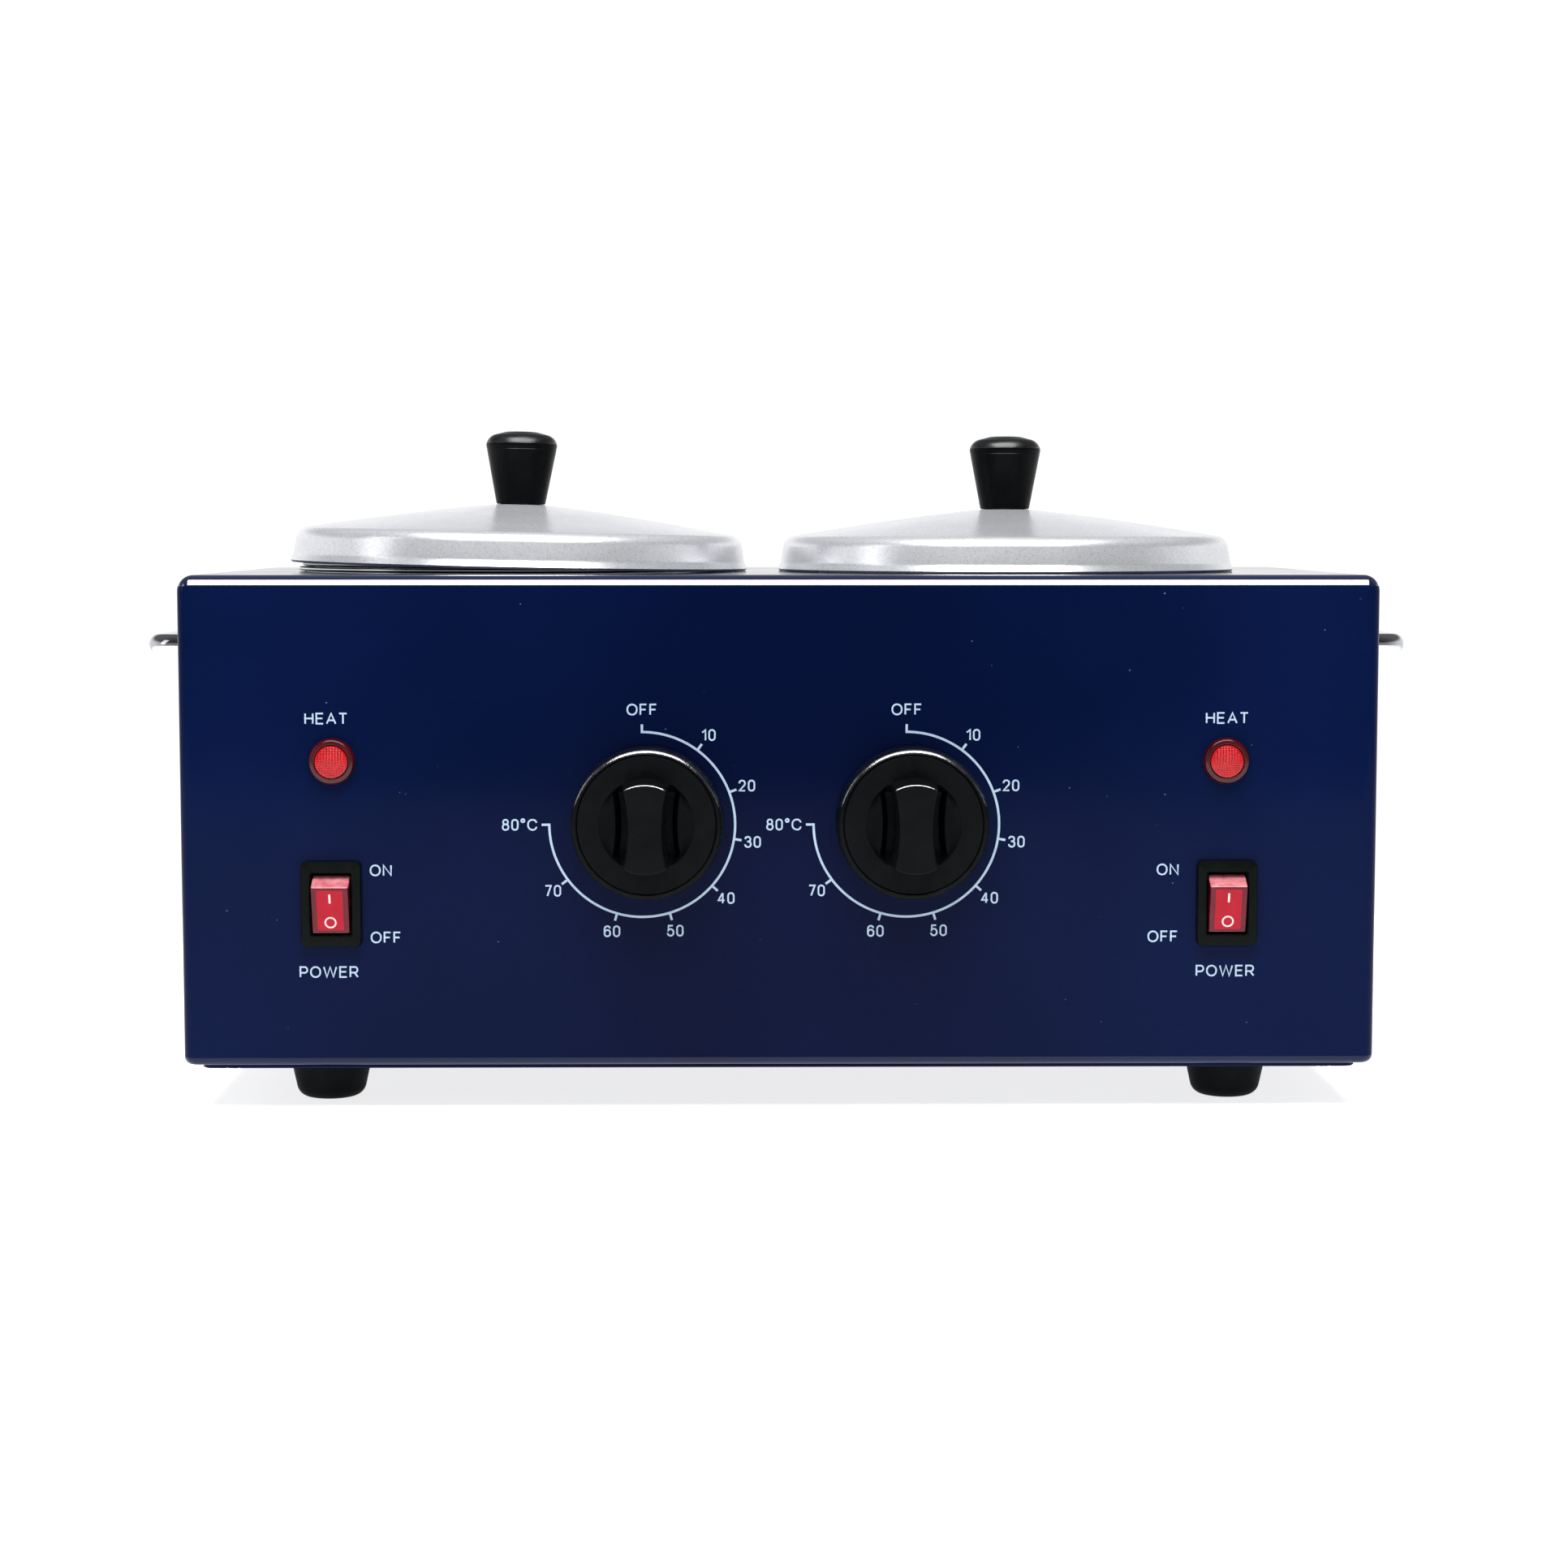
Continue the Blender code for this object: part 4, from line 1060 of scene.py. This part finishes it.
def marks(side, matrix):
    """The I and the O, raised a little on the red inner panel with its painted glow."""
    low = ROCKER_FRONT
    high = ROCKER_FRONT + 0.11 * MM
    bar = rounded_rectangle(0.50 * MM, 2.4 * MM, 0.12 * MM)
    one = prism("rocker_mark_on_" + side, bar, low, high, matrix @ upright(0, 3.1 * MM))
    outer = 1.50 * MM
    inner = 1.10 * MM
    ring = [(outer, low), (outer, high), (inner, high), (inner, low)]
    zero = turned("rocker_mark_off_" + side, ring, matrix @ upright(0, -3.2 * MM),
                  SMALL_STEPS, closed=True)
    for mark in (one, zero):
        fit_out(mark, "rocker_" + side, "rocker_plastic", "mark")


# The inlet.


def power_inlet():
    """The appliance inlet: a flange, a case, and a recess with two corners cut off."""
    middle = centre_of("power_inlet")
    matrix = on_back(middle.x, middle.z)
    flange = (31 * MM, 24 * MM)
    case = (27 * MM, 19.6 * MM)
    front = 2 * MM
    sections = [
        (flange, 0.7 * MM, 2.3 * MM, front),
        (flange, 0.2 * MM, 2.8 * MM, front - 0.2 * MM),
        (flange, 0, 3 * MM, front - 0.7 * MM),
        (flange, 0, 3 * MM, GAP),
        (case, 0, 1 * MM, GAP),
        (case, 0, 1 * MM, -20 * MM),
    ]
    inlet = moulding("moulded_inlet", sections, matrix)
    x = 12.3 * MM
    y = 8.5 * MM
    cut_off = 5 * MM
    small = 0.8 * MM
    recess = filleted([(-x, -y, small), (x, -y, small), (x, y - cut_off, small),
                       (x - cut_off, y, small), (-x + cut_off, y, small),
                       (-x, y - cut_off, small)], closed=True)
    cutters = [prism("recess_cut", recess, -16 * MM, 5 * MM, matrix)]
    for pin in ("live", "neutral", "earth"):
        low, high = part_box("inlet_pin_" + pin)
        slot_low = (low.x - GAP, low.y - 1 * MM, low.z - GAP)
        slot_high = (high.x + GAP, BACK - 15 * MM, high.z + GAP)
        cutters.append(block("pin_cut_" + pin, slot_low, slot_high, Matrix.Identity(4)))
    combine(inlet, cutters, "DIFFERENCE")
    fit_out(inlet, "root", "switch_plastic", "bezel", "power_inlet")


# Printing on the panel.


CAP_HEIGHT = 2.93 * MM
LINE_WIDTH = 0.40 * MM
LETTER_GAP = 0.36


def oval(left, low, right, high, radius):
    """A closed stroke, which starts with the word "loop"."""
    return ["loop", (left, low, radius), (right, low, radius), (right, high, radius),
            (left, high, radius)]


# Each letter is its width and its strokes, on a height of 1. A stroke is a line's corners, as
# for filleted, or an oval.
LETTERS = {
    "A": (0.86, [[(0, 0), (0.43, 1), (0.86, 0)], [(0.16, 0.33), (0.70, 0.33)]]),
    "C": (0.84, [[(0.82, 0.70), (0.78, 1, 0.34), (0, 1, 0.44), (0, 0, 0.44),
                  (0.78, 0, 0.34), (0.82, 0.30)]]),
    "E": (0.66, [[(0.66, 0), (0, 0), (0, 1), (0.66, 1)], [(0, 0.52), (0.60, 0.52)]]),
    "F": (0.60, [[(0, 0), (0, 1), (0.60, 1)], [(0, 0.50), (0.52, 0.50)]]),
    "H": (0.74, [[(0, 0), (0, 1)], [(0.74, 0), (0.74, 1)], [(0, 0.52), (0.74, 0.52)]]),
    "N": (0.74, [[(0, 0), (0, 1), (0.74, 0), (0.74, 1)]]),
    "O": (0.92, [oval(0, 0, 0.92, 1, 0.455)]),
    "P": (0.68, [[(0, 0), (0, 1)], [(-0.08, 1), (0.68, 1, 0.28), (0.68, 0.42, 0.28), (0, 0.42)]]),
    "R": (0.74, [[(0, 0), (0, 1)],
                 [(-0.08, 1), (0.70, 1, 0.27), (0.70, 0.44, 0.27), (0, 0.44)],
                 [(0.40, 0.44), (0.74, 0)]]),
    "T": (0.74, [[(0, 1), (0.74, 1)], [(0.37, 0), (0.37, 1)]]),
    "W": (1.24, [[(0, 1), (0.30, 0), (0.62, 1), (0.94, 0), (1.24, 1)]]),
    "0": (0.56, [oval(0, 0, 0.56, 1, 0.275)]),
    "1": (0.32, [[(0, 0.74), (0.32, 1), (0.32, 0)]]),
    "2": (0.56, [[(0, 0.72), (0.02, 1, 0.24), (0.55, 1, 0.25), (0.55, 0.60, 0.25),
                  (0, 0), (0.56, 0)]]),
    "3": (0.56, [[(0.02, 0.78), (0.05, 1, 0.19), (0.52, 1, 0.22), (0.52, 0.54, 0.21),
                  (0.20, 0.54)],
                 [(0.24, 0.54), (0.56, 0.54, 0.25), (0.56, 0, 0.25), (0, 0, 0.24), (0, 0.26)]]),
    "4": (0.60, [[(0.43, 0), (0.43, 1)], [(0.41, 0.98), (0, 0.28), (0.60, 0.28)]]),
    "5": (0.56, [[(0.50, 1), (0.09, 1), (0.02, 0.46), (0.14, 0.65, 0.1),
                  (0.56, 0.65, 0.28), (0.56, 0, 0.28), (0, 0, 0.24), (0, 0.24)]]),
    "6": (0.56, [[(0.53, 0.78), (0.50, 1, 0.20), (0, 1, 0.28), (0, 0, 0.27), (0.56, 0, 0.27),
                  (0.56, 0.62, 0.27), (0.28, 0.62)],
                 [(0.28, 0.62), (0.02, 0.62, 0.25), (0.02, 0.32)]]),
    "7": (0.56, [[(0, 1), (0.56, 1), (0.20, 0)]]),
    "8": (0.56, [oval(0, 0, 0.56, 0.54, 0.25), oval(0.05, 0.54, 0.51, 1, 0.21)]),
    "\N{DEGREE SIGN}": (0.30, [oval(0, 0.76, 0.30, 1.06, 0.145)]),
}


def ink_line(bm, points, width, place, closed=False, layer=0):
    """Adds a raised line of ink along these points of the local XY plane. Lines that cross are
    on different layers."""
    longest_mitre = 1.7
    top = PRINT_RAISE + layer * PRINT_LAYER
    last = len(points) - 1
    rings = []
    for i, point in enumerate(points):
        after = points[(i + 1) % (last + 1)] - point
        before = point - points[i - 1]
        if not closed and i == 0:
            before = after
        if not closed and i == last:
            after = before
        across = before.normalized() + after.normalized()
        across = Vector((-across.y, across.x)).normalized()
        lean = abs(across.dot(Vector((-after.y, after.x)).normalized()))
        offset = across * width / 2 * min(1 / max(lean, 0.1), longest_mitre)
        corners = ((offset, 0), (offset, top), (-offset, top), (-offset, 0))
        rings.append([bm.verts.new(place @ Vector((*(point + shift), level)))
                      for shift, level in corners])
    for a, b in zip(rings, rings[1:]):
        bridge(bm, a, b)
    if closed:
        bridge(bm, rings[-1], rings[0])
    else:
        bm.faces.new(rings[0])
        bm.faces.new(rings[-1])


def label(bm, text, x, z):
    """Prints a word centred at a place on the panel."""
    scale = CAP_HEIGHT - LINE_WIDTH
    whole = sum(LETTERS[letter][0] for letter in text) + LETTER_GAP * (len(text) - 1)
    start = -whole / 2
    place = on_front(x, z)
    for letter in text:
        width, strokes = LETTERS[letter]
        for layer, stroke in enumerate(strokes):
            closed = stroke[0] == "loop"
            corners = stroke[1:] if closed else stroke
            points = [Vector((start + point.x, point.y - 0.5)) * scale
                      for point in filleted(corners, closed)]
            ink_line(bm, points, LINE_WIDTH, place, closed, layer)
        start += width + LETTER_GAP


def dial_print(bm, x, z):
    """The scale round a knob: an arc, its ticks, and the temperature at each tick."""
    place = on_front(x, z)
    radius = 23.2 * MM
    line_width = 0.58 * MM
    tick_reach = 1.9 * MM
    label_radius = 27.9 * MM
    first_label_radius = 28.8 * MM
    long_label_radius = 30.6 * MM
    ink_line(bm, arc(radius, 0, math.radians(270), 120), line_width, place)
    scale = (("OFF", 0), ("10", 36.5), ("20", 69.5), ("30", 99), ("40", 131.5), ("50", 163),
             ("60", 196), ("70", 233.5), ("80\N{DEGREE SIGN}C", 270))
    for text, degrees in scale:
        angle = math.radians(degrees)
        outwards = Vector((math.sin(angle), math.cos(angle)))
        from_line = radius + (line_width / 2 if 0 < degrees < 270 else -line_width / 2)
        ends = [outwards * from_line, outwards * (radius + tick_reach)]
        ink_line(bm, ends, line_width, place, layer=1)
        reach = label_radius
        if degrees == 0:
            reach = first_label_radius
        if degrees == 270:
            reach = long_label_radius
        label(bm, text, x + reach * outwards.x, z + reach * outwards.y)


def panel_print():
    """The scales and the words. Each lies a little off its knob, lamp or switch."""
    for side, sign in SIDES:
        lamp = centre_of("lamp_lens_" + side)
        switch = hinge_at(f"rocker_{side}_tilt")
        dial = hinge_at(f"knob_{side}_turn")
        bm = bmesh.new()
        dial_print(bm, dial.x - 1.35 * MM, dial.z - 0.8 * MM)
        words = (("HEAT", lamp, -0.6, 0.8, 10.7), ("POWER", switch, -0.5, 0.4, -17.2),
                 ("ON", switch, -1.25, -13.55, 8.4), ("OFF", switch, -1.25, -14.65, -8.5))
        for word, fitting, shift, outwards, up in words:
            label(bm, word, fitting.x + (shift + sign * outwards) * MM, fitting.z + up * MM)
        ink = finished_mesh("panel_print_" + side, bm)
        fit_out(ink, "root", "navy_paint", "ink")


# Finishes of the nodes that keep their own shape.


def finish_nodes():
    prefixes_of = {
        "band": ("band_heater",),
        "zinc": ("heater_clamp_screw", "foot_screw", "plate_screw", "lid_knob_screw",
                 "handle_nut", "thermostat_nut", "thermostat_shaft"),
        "ceramic": ("thermostat_body", "terminal_block"),
        "copper": ("sensor_bulb",),
        "brass": ("inlet_pin",),
        "bezel": ("lamp_body",),
        "sleeve": ("wiring_loom",),
    }
    for finish, prefixes in prefixes_of.items():
        for name, node in frame["nodes"].items():
            if name.startswith(prefixes):
                node.data.materials.clear()
                node.data.materials.append(MATERIALS[finish])


# The studio.


def softbox(name, place, target, width, height, power):
    light = bpy.data.lights.new(name, "AREA")
    light.shape = "RECTANGLE"
    light.size = width
    light.size_y = height
    light.energy = power
    obj = added(name, light)
    obj.location = place
    aim = Vector(target) - Vector(place)
    obj.rotation_euler = aim.to_track_quat("-Z", "Y").to_euler()


def studio():
    """White paper that gives off light, a white wall behind, dim walls in front and above, and
    two softboxes."""
    half_width = 1.2
    near = -0.98
    far = 0.32
    corners = ((-half_width, near, 0), (half_width, near, 0),
               (half_width, far, 0), (-half_width, far, 0))
    mesh = bpy.data.meshes.new("floor")
    mesh.from_pydata(corners, [], [(0, 1, 2, 3)])
    floor = added("floor", mesh)
    paper = surfaced("white_paper", ((0.86, 0.86, 0.86), (0.88, 0.88, 0.88)), (0.7, 0.8),
                     3, 200, 0.01, Emission_Color=(1, 1, 1, 1), Emission_Strength=0.8)
    floor.data.materials.append(paper)

    world = bpy.data.worlds.new("studio")
    world.use_nodes = True
    tree = world.node_tree
    way = add(tree, "ShaderNodeTexCoord").outputs["Generated"]
    parts = add(tree, "ShaderNodeSeparateXYZ", {"Vector": way})
    wall = ranged(tree, parts.outputs["Y"], -0.5, 0.3, 0.36, 1.12)
    low_down = ranged(tree, parts.outputs["Z"], 0.40, 0.20)
    light = blended(tree, low_down, (0.16, 0.16, 0.17), (1, 1, 1))
    background = tree.nodes["Background"]
    tree.links.new(light, background.inputs["Color"])
    tree.links.new(wall, background.inputs["Strength"])
    bpy.context.scene.world = world

    softbox("overhead", (-0.02, -0.46, 1.05), (0, 0, 0.10), 1.1, 0.80, 28)
    softbox("left", (-1.1, -0.30, 0.50), (0, 0, 0.1), 0.3, 0.7, 1.0)


def camera():
    """A long lens, about level with the lids and looking slightly down, as in the photograph."""
    data = bpy.data.cameras.new("camera")
    data.lens = 69.88
    data.sensor_width = 36
    data.clip_start = 0.05
    data.clip_end = 20
    obj = added("camera", data)
    obj.location = (-7.4 * MM, FRONT - 757 * MM, 147.6 * MM)
    obj.rotation_euler = (math.radians(90 - 4.88), 0, math.radians(-0.64))
    bpy.context.scene.camera = obj


bpy.context.scene.view_settings.view_transform = "Standard"
camera()
studio()
housing_shell()
base_plate()
feet()
side_handles()
wells_and_pots()
lids()
dial_knobs()
pilot_lamps()
switches()
power_inlet()
panel_print()
finish_nodes()
